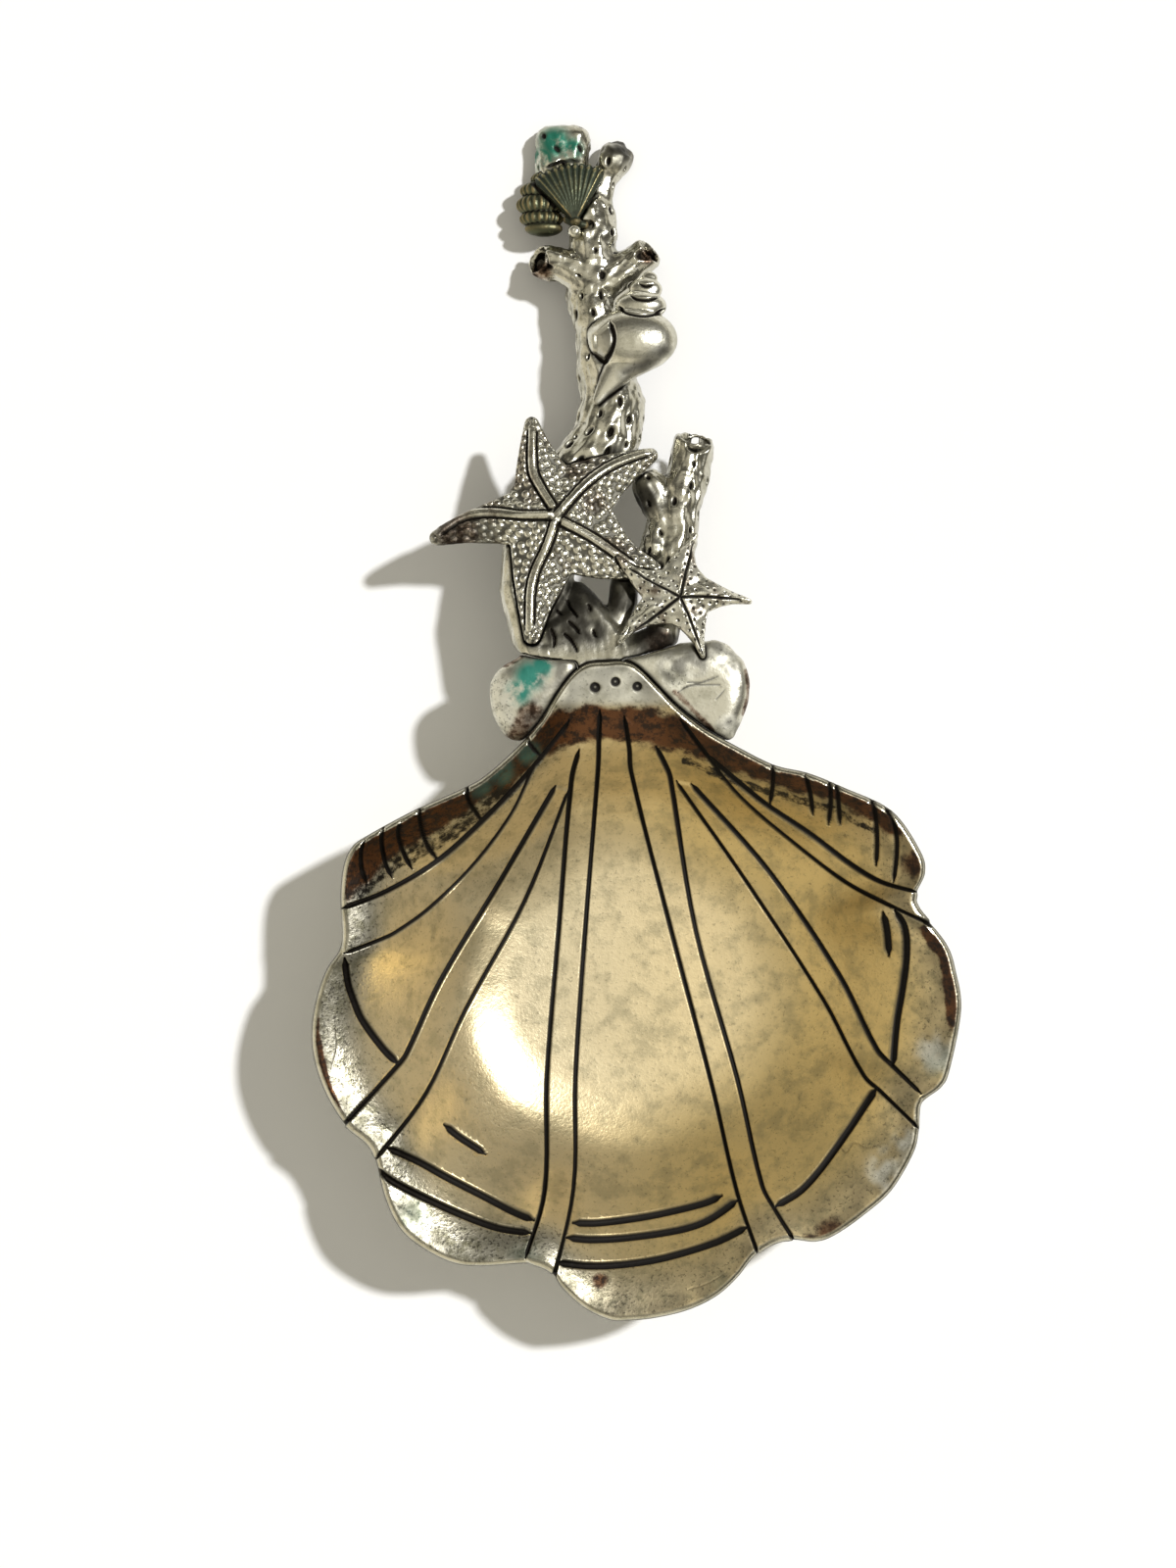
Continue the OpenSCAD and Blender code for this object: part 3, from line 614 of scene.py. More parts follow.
def pewter(name, metal, patina=PATINA_TEAL, polish=0.2, grain=0.10):
    """Cast antique pewter: polished high, black in recesses, stained, with painted shade and sheen.
    """
    material = bpy.data.materials.new(name)
    tree = empty_tree(material)
    where = node_of(tree, "ShaderNodeTexCoord").outputs["Object"]
    cloud, patch, speck = (noise_node(tree, where, *kind) for kind in (CLOUD, PATCH, SPECK))
    warm, mottle, worn = (attribute(tree, stain) for stain in ("warm", "mottle", "worn"))
    tone = times(tree, ramped(tree, cloud, 0.42, 0.66), 0.40)
    spread = summed(tree, patch, (mottle, 0.16))
    mottled = times(tree, ramped(tree, spread, 0.54, 0.78), mottle)
    # Rust, and on the bowl painted brown reflection, each blackened in patches
    rusty = eaten_mask(tree, "rust", patch, 0.52, 1.22)
    burnt = times(tree, ramped(tree, patch, 0.44, 0.60), 0.85)
    crowded = summed(tree, speck, (mottle, 0.10))
    specked = times(tree, ramped(tree, crowded, 0.62, 0.70), summed(tree, 0.25, (mottle, 0.55)))
    patchy = times(tree, attribute(tree, "patina"), ramped(tree, cloud, 0.30, 0.50), clamp=True)
    # The oxide share also holds painted shade on sides, undersides and patches
    deep = times(tree, attribute(tree, "oxide"), 1.25, clamp=True)
    dark = math_node(tree, "POWER", deep, 0.8)
    # Gold is painted sheen, pale is rubbing and painted highlight, black bands painted reflection
    colour = metal
    for share, stain in ((warm, WARM_GOLD), (times(tree, worn, 0.6), RUBBED_METAL),
                         (tone, TARNISH_OLIVE), (mottled, TARNISH_OLIVE), (rusty, RUST_BROWN),
                         (times(tree, rusty, burnt), OXIDE_COLOUR),
                         (eaten_mask(tree, "soot", patch, 0.86, 1.08), OXIDE_COLOUR),
                         (specked, OXIDE_COLOUR), (patchy, patina), (dark, OXIDE_COLOUR)):
        colour = mixed(tree, share, colour, stain)
    rough = summed(tree, polish - 0.08, (cloud, 0.16), (dark, 0.35), (patchy, 0.25),
                   (warm, 0.16), (mottle, 0.08), (rusty, 0.15), (worn, 0.22))
    dull = summed(tree, 0.0, (warm, 0.42), (patchy, 0.55), (mottled, 0.25), (worn, 0.70))
    metallic = math_node(tree, "SUBTRACT", 1.0, dull, clamp=True)
    uneven = summed(tree, 0.0, (cloud, 0.6), (speck, 0.4), (times(tree, mottle, patch), 0.5))
    bump = node_of(tree, "ShaderNodeBump",
                   {"Height": uneven, "Strength": 1.0, "Distance": grain * MM})
    shader = node_of(tree, "ShaderNodeBsdfPrincipled",
                     {"Base Color": colour, "Roughness": rough, "Metallic": metallic,
                      "Normal": bump.outputs[0]})
    node_of(tree, "ShaderNodeOutputMaterial", {"Surface": shader.outputs[0]})
    return material


# The bowl
def smooth_loop(points, steps):
    before, after, later = np.roll(points, 1, 0), np.roll(points, -1, 0), np.roll(points, -2, 0)
    rows = []
    for t in np.arange(steps) / steps:
        rows.append((2 * points + (after - before) * t
                     + (2 * before - 5 * points + 4 * after - later) * t ** 2
                     + (3 * points - before - 3 * after + later) * t ** 3) / 2)
    return np.stack(rows, 1).reshape(-1, 2)


def bell(step, width):
    """Weights of a smoothing over a width, for values in even steps."""
    reach = int(4 * width / step)
    kernel = np.exp(-0.5 * (np.arange(-reach, reach + 1) * step / width) ** 2)
    return reach, kernel / kernel.sum()


def turn_of(rays):
    return np.mod(np.arctan2(rays[..., 1], rays[..., 0]), FULL_TURN)


class Bowl:
    """The bowl's inner form as a function of the place on the table."""

    def __init__(self):
        shares = smooth_loop(RIM_OUTLINE_SHARES, RIM_STEPS)
        self.centre = on_bowl(FLOOR_CENTRE_SHARE)
        self.rim = on_bowl(shares)
        rays = self.rim - self.centre
        self.reach = np.linalg.norm(rays, axis=1)
        self.ways = rays / self.reach[:, None]
        self.heights = BOWL_HEIGHT - FRONT_DROP * (1 - shares[:, 1])
        umbo = (eased(1 - np.abs(shares[:, 0] - UMBO_CREST) / UMBO_SPREAD)
                * above(shares[:, 1], UMBO_START, 1 - UMBO_START))
        shoulder = above(shares[:, 1], SHOULDER_START, SHOULDER_BLEND) * (1 - umbo)
        turn = turn_of(rays)
        order = np.argsort(turn)
        self.turns = np.linspace(0, FULL_TURN, TURN_STEPS, endpoint=False)
        self.by_turn = [np.interp(self.turns, turn[order], v[order], period=FULL_TURN)
                        for v in (self.reach, self.heights, shoulder, umbo)]
        spread, kernel = bell(self.turns[1], DEEP_SOFTNESS)
        reach = self.by_turn[0]
        padded = np.concatenate([reach[-spread:], reach, reach[:spread]])
        self.by_turn.append(np.convolve(padded, kernel, "valid"))
        self.profile_at = np.linspace(0, 1, PROFILE_STEPS)
        self.profiles = [self.rise_profile(column) for column in WALL_RISE_SHARES.T[1:]]

    def rise_profile(self, column):
        step = self.profile_at[1]
        spread, kernel = bell(step, RISE_SOFTNESS)
        wide = np.arange(-spread, PROFILE_STEPS + spread) * step
        beyond = 2 - np.interp(2 - wide, WALL_RISE_SHARES[:, 0], column)
        raw = np.where(wide > 1, beyond, np.interp(wide, WALL_RISE_SHARES[:, 0], column))
        return np.convolve(raw, kernel, "valid")

    def at(self, places):
        """Share of the way to the rim, and height of the inner wall, at places."""
        rays = places - self.centre
        turn = turn_of(rays)
        reach, height, shoulder, umbo, deep = (
            np.interp(turn, self.turns, v, period=FULL_TURN) for v in self.by_turn)
        reach, deep = reach - LIP_RADIUS, deep - LIP_RADIUS
        far = np.linalg.norm(rays, axis=1)
        scalloped = above(far / reach, SCALLOP_START, 1 - SCALLOP_START)
        share = np.clip(far / (deep + (reach - deep) * scalloped), 0, 1)
        lobe, low, crest = (np.interp(share, self.profile_at, p) for p in self.profiles)
        rise = lobe * (1 - shoulder - umbo) + low * shoulder + crest * umbo
        return share, BOWL_WALL + (height - BOWL_WALL) * rise

    def ring(self, share):
        return self.centre + self.ways * (share * (self.reach - LIP_RADIUS))[:, None]

    def outer_heights(self, share):
        """Heights of the outside, a wall's thickness from the inside."""
        near, far = (self.ring(np.clip(share + d, 0, 1)) for d in (-0.03, 0.03))
        climb = self.at(far)[1] - self.at(near)[1]
        run = np.linalg.norm(far - near, axis=1)
        drop = BOWL_WALL * np.hypot(run, climb) / run
        drop = BOWL_WALL + (drop - BOWL_WALL) * below(share, 1, 0.12)
        return np.maximum(0.0, self.at(self.ring(share))[1] - drop)


def bowl_rows(bowl):
    """Rings of the bowl's skin, from the floor over the lip and down the outside."""
    inner = 1 - (1 - np.linspace(NEXT_TO_CENTRE, 1, INNER_ROWS)) ** 1.25
    rows = [np.column_stack([bowl.ring(v), bowl.at(bowl.ring(v))[1]]) for v in inner]
    for angle in np.linspace(math.pi / 2, -math.pi / 2, LIP_ROWS + 2)[1:-1]:
        places = bowl.rim - bowl.ways * LIP_RADIUS * (1 - math.cos(angle))
        rows.append(np.column_stack([places, bowl.heights + LIP_RADIUS * (math.sin(angle) - 1)]))
    for share in np.linspace(1, NEXT_TO_CENTRE, OUTER_ROWS):
        rows.append(np.column_stack([bowl.ring(share), bowl.outer_heights(share)]))
    return rows


def bowl_mesh(bowl):
    """Closed skin of the bowl, with the points of its inner wall marked."""
    rows = bowl_rows(bowl)
    count = len(bowl.rim)
    points = np.vstack(rows + [[[*bowl.centre, BOWL_WALL], [*bowl.centre, 0.0]]])
    ring = np.arange(count)
    following = np.roll(ring, -1)
    bands = [np.stack([j + ring, j + count + ring, j + count + following, j + following], 1)
             for j in range(0, (len(rows) - 1) * count, count)]
    faces = [tuple(face) for face in np.vstack(bands)]
    last = (len(rows) - 1) * count
    faces += [(len(points) - 2, i, k) for i, k in zip(ring, following)]
    faces += [(len(points) - 1, last + k, last + i) for i, k in zip(ring, following)]
    form = form_of(points, faces)
    bmesh.ops.recalc_face_normals(form, faces=form.faces)
    mesh = mesh_of("bowl", form)
    inner = np.zeros(len(points), np.float32)
    inner[:INNER_ROWS * count] = 1
    inner[-2] = 1
    mesh.attributes.new("inner", "FLOAT", "POINT").data.foreach_set("value", inner)
    return mesh


def refine(mesh, lines):
    """Cuts the faces near the engraved lines finer."""
    points = get_points(mesh)
    near = np.zeros(len(points), bool)
    for _, line in lines:
        around = near_line(points, line, FINE_REACH)
        gap, _ = line_distance(points[around], line)
        near[around[gap < FINE_REACH]] = True
    near &= points[:, 2] > BOWL_WALL / 2
    form = bmesh.new()
    form.from_mesh(mesh)
    form.verts.ensure_lookup_table()
    edges = {e for i in np.nonzero(near)[0] for e in form.verts[i].link_edges
             if near[e.other_vert(form.verts[i]).index]}
    bmesh.ops.subdivide_edges(form, edges=list(edges), cuts=FINE_CUTS, use_grid_fill=True)
    form.to_mesh(mesh)
    form.free()


def bowl_stains(points, share, inside):
    """Shares of each stain of the bowl, and of its painted reflections and highlights."""
    from_umbo = level_places(UMBO_PIXEL, UMBO_LEVEL)[1] - points[:, 1]
    # Painted highlight on the umbo
    cream = below(from_umbo, 4.4, 1.2)
    right = above(points[:, 0], -14, 24)
    within = below(share, 0.95, 0.12)
    # Painted gold reflection, stronger on the right and over the right lobes
    warm = within * (0.60 + 0.40 * right) + 0.7 * (1 - within) * right
    # Pale patches of painted highlight
    pale = stained(points, BOWL_PALE) * eased(0.75 + 1.3 * field(points, 1.3, 7.0))
    lobes = above(share, 0.82, 0.12) * (1 - cream)
    # Brown and black bands are painted reflection; the rubbed floor is real wear
    stains = {
        "warm": warm * (1 - cream) * (1 - 0.7 * pale),
        "rust": most(0.7 * stained(points, BOWL_RUST), banded(points, BROWN_BANDS)),
        "patina": most(0.8 * stained(points, BOWL_TEAL), 0.3 * stained(points, BOWL_GREEN)),
        "mottle": 0.15 + (0.60 - 0.3 * right) * lobes,
        "worn": most(0.35 * below(share, 0.62, 0.3), cream, pale),
        "soot": 0.55 * banded(points, BLACK_BANDS)}
    return {stain: values * inside for stain, values in stains.items()}


def bowl_lines(tree):
    """Engraved lines and the ribs' edges, laid on the bowl."""
    ribs = [(THIN, edge) for rib in BOWL_RIBS for edge in rib]
    return [(cut, traced(tree, pixels)) for cut, pixels in BOWL_LINES + ribs]


def carve_bowl(points, normals, tree, lines):
    """How far each point rises, and how dark the engraved lines leave it."""
    up = upward(normals, -0.2, 0.1) * (points[:, 2] > BOWL_WALL / 2)
    sunk, oxide = np.zeros(len(points)), np.zeros(len(points))
    ribs = [np.vstack([traced(tree, left), traced(tree, right)[::-1]]) for left, right in BOWL_RIBS]
    raised = widest(points, (inside_share(points, rib, 0.2) * up for rib in ribs))
    for (width, depth), line in lines:
        sunk = most(sunk, groove(points, line, width) * up * depth)
        oxide = most(oxide, groove(points, line, 1.25 * width) * up * min(1, depth / 0.2))
    for pixel, radius in UMBO_DIMPLES:
        gap = plan_gap(points, seen(tree, [pixel])[0, :2])
        cut = eased(2.6 - 2.2 * gap / radius) * up
        sunk = most(sunk, cut * radius * 0.7)
        oxide = most(oxide, cut * eased(gap / radius + 0.4))
    return RIB_HEIGHT * raised - sunk, oxide


def make_bowl(material):
    bowl = Bowl()
    mesh = bowl_mesh(bowl)
    tree = solid_tree("shell_bowl")
    lines = bowl_lines(tree)
    refine(mesh, lines + [(THIN, seen(tree, [pixel, pixel])) for pixel, _ in UMBO_DIMPLES])
    points = get_points(mesh)
    inside = fetched(mesh.attributes["inner"].data, "value", 1, np.float32)[:, 0] > 0.99
    mesh.attributes.remove(mesh.attributes["inner"])
    share = np.ones(len(points))
    share[inside], points[inside, 2] = bowl.at(points[inside, :2])
    set_points(mesh, points)
    normals = get_normals(mesh)
    shift, oxide = carve_bowl(points, normals, tree, lines)
    carved(mesh, points, normals, shift)
    # Painted shade on the outside's steep sides and in a darker border near the rim
    edge = ~inside * sideways(normals, 0.75, 0.4) * above(normals[:, 2], -0.5, 0.4)
    rim = 0.38 * inside * above(share, 0.87, 0.13) * eased(0.7 + field(points, 1.8, 4.0))
    oxide = most(oxide, 0.65 * edge, rim) * (1 - banded(points, BRIGHT_BANDS))
    finish_piece(placed("bowl_shell", mesh), "shell_bowl", "bowl_pewter", material, oxide=oxide,
                 **bowl_stains(points, share, inside))


# The coral
# Height at which the middle lines of the limbs are laid, along which pits and streaks run
CORAL_LEVEL = 7.0
CORAL_RUNS = [
    [(590, 480), (612, 440), (622, 405), (612, 370), (606, 335), (604, 300), (605, 262),
     (603, 225), (595, 195), (573, 146)],
    [(605, 240), (612, 205), (622, 170), (629, 152)],
    [(598, 285), (570, 272), (548, 268)],
    [(620, 290), (645, 268), (657, 255)],
    [(524, 650), (518, 560), (560, 500)],
    [(600, 660), (590, 610), (575, 560)],
    [(640, 655), (640, 625), (650, 590)],
    [(690, 560), (697, 520), (703, 485), (711, 452)],
    [(685, 545), (668, 515), (657, 495)],
]
PIT_LENGTH, PIT_WIDTH, PIT_DEPTH = 0.50, 0.27, 0.34
# Engraved strokes on the root: width in millimetres, then pixels
STROKE_WIDTH = 0.24
ROOT_STROKES = [[(579, 612), (581, 619), (587, 626), (589, 629)], [(569, 623), (573, 627)],
                [(580, 634), (587, 640), (591, 646)], [(600, 616), (603, 623)],
                [(575, 646), (582, 652), (587, 660), (589, 665)], [(605, 642), (608, 650)],
                [(562, 641), (566, 652), (565, 660)]]
# Stains of the coral and patches of painted shade: pixel, then radius in millimetres
CORAL_TEAL = [((566, 143), 1.7), ((553, 158), 1.2), ((583, 150), 1.2)]
CORAL_SHADE = [((570, 615), 2.6), ((592, 612), 2.6), ((635, 608), 2.4), ((560, 640), 2.2),
               ((585, 640), 2.2), ((605, 645), 1.6), ((634, 150), 1.7), ((665, 658), 2.8),
               ((690, 655), 2.0), ((655, 510), 1.8), ((630, 470), 1.4)]
CORAL_RUST = [((553, 276), 1.2), ((672, 655), 1.6), ((660, 262), 1.0)]
# Open ends of the branches: pixel, radii across and along, depth in millimetres
CORAL_MOUTHS = [((712, 453), 1.05, 0.75, 0.65), ((553, 268), 0.60, 0.95, 0.55),
                ((658, 260), 0.90, 0.50, 0.45)]
# Bulb at the end of the top right branch: pixel and radius
TIP_BULB = [((626, 163), 1.75), ((631, 150), 0.85)]


def run_ways(points):
    """Direction of the nearest limb at each point, in plan."""
    best = np.full(len(points), np.inf)
    ways = np.zeros((len(points), 2))
    for run in CORAL_RUNS:
        line = level_places(run, CORAL_LEVEL)
        for a, b in zip(line, line[1:]):
            gap, _ = line_distance(points, np.array([a, b]))
            nearer = gap < best
            best[nearer] = gap[nearer]
            ways[nearer] = (b - a) / np.linalg.norm(b - a)
    return ways


def pitted(points, normals, ways, spacing, seed):
    """Share of long pits that lie along the limbs."""
    tree = search_tree(points)
    pits = np.zeros(len(points))
    chance = np.random.default_rng(seed)
    for place in spots(points, normals[:, 2] > -0.1, spacing, seed):
        found = tree.find_range(place, 2 * PIT_LENGTH)
        ids = np.array([f[1] for f in found])
        offset = points[ids] - place
        way = ways[tree.find(place)[1]]
        size = chance.uniform(0.45, 1.1)
        turn = chance.uniform(-0.35, 0.35)
        way = np.array([way[0] * math.cos(turn) - way[1] * math.sin(turn),
                        way[0] * math.sin(turn) + way[1] * math.cos(turn)])
        along = offset[:, :2] @ way
        across = np.sqrt(np.maximum(0, (offset ** 2).sum(1) - along ** 2))
        reach = np.hypot(along / PIT_LENGTH, across / PIT_WIDTH) / size
        pits[ids] = np.maximum(pits[ids], eased(1.5 - reach))
    return pits


def streaks(points, ways):
    """Fine lengthwise unevenness of the coral's skin."""
    along = (points[:, :2] * ways).sum(1)
    across = points[:, 0] * -ways[:, 1] + points[:, 1] * ways[:, 0]
    return field(np.column_stack([across / 0.55, along / 2.0, points[:, 2] / 0.55]), 1.0)


def mouths(points, tree, up):
    """Share of the hollows in the branches' open ends, and their depths."""
    share, depth = np.zeros(len(points)), np.zeros(len(points))
    for pixel, wide, tall, deep in CORAL_MOUTHS:
        offset = points[:, :2] - seen(tree, [pixel])[0, :2]
        cut = eased(2.2 - 1.6 * np.hypot(offset[:, 0] / wide, offset[:, 1] / tall)) * up
        share = most(share, cut)
        depth = most(depth, cut * deep)
    return share, depth


def make_coral(node, material, seed, spacing=2.1, bark=1.0, strokes=(), bulb=()):
    tree = solid_tree(node)
    hulls = []
    if bulb:
        places = seen(tree, [pixel for pixel, _ in bulb])
        hulls = [np.vstack([ellipsoid(place - (0, 0, 0.7 * r), (r, r, 0.8 * r), 24, 12)
                            for place, (_, r) in zip(places, bulb)])]
    piece = cast_over(node + "_cast", node, CORAL_SKIN, hulls)
    mesh, points, normals = surface(piece)
    up = upward(normals)
    ways = run_ways(points)
    pits = pitted(points, normals, ways, spacing, seed) if spacing else np.zeros(len(points))
    pits = most(pits, grooves(points, tree, strokes, STROKE_WIDTH, 0.4) * up)
    hollow, depth = mouths(points, tree, up)
    swell = 0.22 * field(points, 2.6, seed) + 0.11 * field(points, 1.0, seed + 1)
    skin = bark * (swell + 0.11 * streaks(points, ways)) - CORAL_INSET
    shift = skin - PIT_DEPTH * pits - depth
    carved(mesh, points, normals, shift * above(normals[:, 2], -0.9, 0.4))
    dark = above(hollows(mesh, 14), 0.02, 0.11)
    # Painted shade on the sides and undersides, and in patches
    shade = sideways(get_normals(mesh), 0.25)
    blotch = eased(1.1 + field(points, 1.3, seed)) * stained(points, CORAL_SHADE)
    oxide = most(1.1 * pits, 0.9 * dark, contact(points, node), 0.55 * shade,
                 0.72 * blotch, 0.55 * hollow)
    finish_piece(piece, node, "coral_pewter", material, oxide=oxide,
                 rust=0.55 * stained(points, CORAL_RUST), mottle=np.full(len(points), 0.25),
                 patina=stained(points, CORAL_TEAL))


# The starfish: lines from tip to middle, or from the middle out
LARGE_RIDGES = [
    [(543, 436), (543, 479), (550, 495), (566, 520)],
    [(446, 542), (466, 528), (483, 523), (504, 522), (532, 525), (566, 525)],
    [(567, 527), (594, 496), (615, 479), (637, 468), (662, 460)],
    [(570, 530), (603, 547), (629, 565), (645, 577)],
    [(567, 528), (559, 554), (546, 582), (541, 603), (540, 640)],
]
SMALL_LINES = [
    [(694, 609), (672, 597), (643, 580)],
    [(694, 609), (700, 585), (709, 553)],
    [(694, 609), (720, 609), (756, 612)],
    [(694, 609), (705, 635), (717, 668)],
    [(694, 609), (670, 628), (641, 650)],
]
BEAD_SPACING, BEAD_RADIUS = 0.68, 0.40
RIDGE_HEIGHT, CHANNEL_DEPTH, BEAD_HEIGHT = 0.17, 0.26, 0.19
PIN_SPACING, PIN_RADIUS, PIN_DEPTH = 0.70, 0.12, 0.16
LINE_WIDTH, LINE_DEPTH = 0.28, 0.22
# Painted shade on the left arm, then rust: pixel, then radius in millimetres
LARGE_STAINS = [((460, 547), 2.0), ((495, 545), 1.5)]
LARGE_RUST = [((468, 545), 2.4)]


def make_large_star(material):
    piece = cast_over("starfish_large_cast", "starfish_large", LARGE_STAR_SKIN)
    mesh, points, normals = surface(piece)
    tree = solid_tree("starfish_large")
    raised, beside = np.zeros(len(points)), np.zeros(len(points))
    for pixels in LARGE_RIDGES:
        gap, to_end = line_distance(points, traced(tree, pixels))
        fade = eased(to_end / 0.8 + 0.3)
        raised = most(raised, eased(1.5 - gap / 0.32) * fade)
        beside = most(beside, eased(1.6 - np.abs(gap - 0.56) / 0.12) * fade)
    up = upward(normals, 0.05, 0.4)
    clear = (raised < 0.02) & (beside < 0.25) & (normals[:, 2] > 0.15)
    gap = nearest_gap(points, spots(points, clear, BEAD_SPACING, 5), 1.0)
    bead = np.sqrt(np.maximum(0, 1 - (gap / BEAD_RADIUS) ** 2)) * clear
    between = above(gap, 0.32, 0.12) * clear
    shift = RIDGE_HEIGHT * raised - CHANNEL_DEPTH * beside + (BEAD_HEIGHT * bead - 0.15) * clear
    carved(mesh, points, normals, (shift - STAR_INSET) * up)
    # Painted shade on the sides and on the left arm, beside oxide in the channels
    oxide = most(beside * up, 0.62 * between * up, contact(points, "starfish_large"),
                 0.7 * sideways(normals), 0.45 * stained(points, LARGE_STAINS))
    rust = most(0.35 * eased(field(points, 3.0, 4.0) + 0.4), 0.5 * stained(points, LARGE_RUST))
    finish_piece(piece, "starfish_large", "starfish_pewter", material, oxide=oxide, rust=rust)


def make_small_star(material):
    piece = cast_over("starfish_small_cast", "starfish_small", SMALL_STAR_SKIN)
    mesh, points, normals = surface(piece)
    cut = grooves(points, solid_tree("starfish_small"), SMALL_LINES, LINE_WIDTH, 0.3)
    up = upward(normals, 0.1, 0.45)
    clear = (cut < 0.05) & (normals[:, 2] > 0.2)
    gap = nearest_gap(points, spots(points, clear, PIN_SPACING, 9), 1.0)
    pin = eased(1.7 - gap / PIN_RADIUS) * clear
    sunk = -LINE_DEPTH * cut - PIN_DEPTH * pin - STAR_INSET
    carved(mesh, points, normals, (sunk + 0.17 * field(points, 1.0, 3.0)) * up)
    # Painted shade on the sides, beside oxide in the lines and pins
    oxide = most(cut * up, 0.75 * pin * up, contact(points, "starfish_small"),
                 0.35 * sideways(normals))
    finish_piece(piece, "starfish_small", "starfish_pewter", material, oxide=oxide,
                 rust=0.45 * eased(field(points, 1.6, 8.0) + 0.3),
                 worn=0.35 * eased(field(points, 1.2, 2.0) + 0.6))


# The shells on the handle, as in the part's source
# Knots of the whelk: place as shares of the handle's length, radius as a share of the
# whelk's width, length as a share of the radius
WHELK_WIDTH, WHELK_THICKNESS, WHELK_SEAT = 8.8, 4.6, 1.012
WHELK_BODY = [(-0.022, 0.592, 0.20, 0.90), (0.030, 0.582, 0.53, 0.73),
              (0.040, 0.560, 0.38, 0.62), (0.010, 0.530, 0.22, 0.80),
              (-0.023, 0.488, 0.10, 1.00), (-0.035, 0.468, 0.06, 1.00)]
WHELK_WHORLS = [(0.044, 0.645, 0.31, 0.60), (0.053, 0.676, 0.20, 0.74),
                (0.060, 0.697, 0.10, 0.90)]
WHELK_MOUTH = [(622, 330), (625, 345), (621, 362), (612, 373), (606, 362), (606, 342)]
WHELK_LIP = [(622, 328), (626, 345), (622, 361), (615, 371)]
WHELK_SEAMS = [[(631, 313), (640, 319), (656, 322), (670, 320), (679, 315)],
               [(643, 301), (650, 305), (662, 306), (672, 303)],
               [(652, 289), (659, 292), (667, 290)]]
WHELK_LIP_BAND = [(607, 329), (601, 340), (602, 358), (608, 376), (612, 392)]
# Line of painted shade along the whelk's lower edge
WHELK_UNDERSIDE = [(636, 382), (658, 372), (678, 356)]
# Carving of the whelk, in millimetres
LIP_WIDTH, SEAM_WIDTH, BAND_WIDTH = 0.55, 0.34, 0.7
LIP_DEPTH, SEAM_DEPTH, MOUTH_DEPTH, BAND_HEIGHT = 0.30, 0.26, 0.34, 0.10


def ellipsoid(middle, radii, around=48, rings=24):
    theta = np.linspace(0, 2 * math.pi, around, endpoint=False)
    phi = np.linspace(0, math.pi, rings)
    x = np.outer(np.sin(phi), np.cos(theta)).ravel()
    y = np.outer(np.sin(phi), np.sin(theta)).ravel()
    z = np.repeat(np.cos(phi), around)
    return np.array(middle) + np.column_stack([x, y, z]) * radii


def add_hull(form, points):
    """Adds the convex hull of some points to a bmesh."""
    made = [form.verts.new(p) for p in points]
    hull = bmesh.ops.convex_hull(form, input=made)
    spare = [v for v in hull["geom_interior"] + hull["geom_unused"]
             if isinstance(v, bmesh.types.BMVert)]
    bmesh.ops.delete(form, geom=list(set(spare)), context="VERTS")


def whelk_knot(x, y, radius, squeeze):
    wide = radius * WHELK_WIDTH
    high = wide * WHELK_THICKNESS / WHELK_WIDTH
    points = ellipsoid((x * HANDLE_LENGTH, y * HANDLE_LENGTH, WHELK_SEAT + WHELK_THICKNESS / 2),
                       (wide, wide * squeeze, high))
    points[:, 2] = np.maximum(points[:, 2], WHELK_SEAT)
    return points


def make_whelk(material):
    knots = [whelk_knot(*row) for row in WHELK_BODY]
    hulls = [np.vstack(pair) for pair in zip(knots, knots[1:])]
    form = bmesh.new()
    for hull in hulls + [whelk_knot(*row) for row in WHELK_WHORLS]:
        add_hull(form, from_handle(hull))
    piece = remeshed("whelk_cast", form, WHELK_SKIN)
    mesh, points, normals = surface(piece)
    tree = solid_tree("whelk")
    up = upward(normals, 0.0, 0.3)
    mouth = inside_share(points, seen(tree, WHELK_MOUTH), 0.16) * up
    lip = grooves(points, tree, [WHELK_LIP], LIP_WIDTH, 0.5) * up
    seams = grooves(points, tree, WHELK_SEAMS, SEAM_WIDTH, 0.5) * up
    band = ridge(points, traced(tree, WHELK_LIP_BAND), BAND_WIDTH) * up
    shift = BAND_HEIGHT * band - MOUTH_DEPTH * mouth - LIP_DEPTH * lip - SEAM_DEPTH * seams
    carved(mesh, points, normals, shift - SHELL_INSET)
    # Painted shade on the sides and in a band along the lower edge
    gap, _ = line_distance(points, seen(tree, WHELK_UNDERSIDE))
    low = eased(1.0 - gap / 1.1) * eased(0.8 + field(points, 1.2, 5.0))
    oxide = most(lip, seams, contact(points, "whelk"), 0.6 * sideways(normals, 0.28),
                 0.2 * mouth, 0.6 * low)
    finish_piece(piece, "whelk", "shell_pewter", material, oxide=oxide, mottle=0.5 * low)


FAN_HINGE = np.array([-0.074, 0.800]) * HANDLE_LENGTH
FAN_SEAT, FAN_RADIUS = 2.472, 7.1
FAN_FIRST, FAN_LAST, FAN_RIBS = 61, 133, 11
FAN_PLATE = 0.45
# Steps round the fan, and from its hinge to its edge
FAN_STEPS, FAN_ROWS = 221, 60
# Knob and wings of the fan's hinge: place and radii of the blobs that each hull holds
FAN_KNOBS = [
    [((0, 0.25, 0.75), (0.62, 0.55, 0.6))],
    [((0.3, 0.1, 0.5), (0.4, 0.4, 0.4)), ((1.1, 0.0, 0.4), (0.28, 0.4, 0.3))],
    [((-0.3, 0.2, 0.5), (0.4, 0.4, 0.4)), ((-1.0, 0.6, 0.4), (0.3, 0.4, 0.3))]]


def quads(form, rows):
    """Faces between rows of vertices."""
    for near, far in zip(rows, rows[1:]):
        for i in range(len(near) - 1):
            form.faces.new((near[i], far[i], far[i + 1], near[i + 1]))


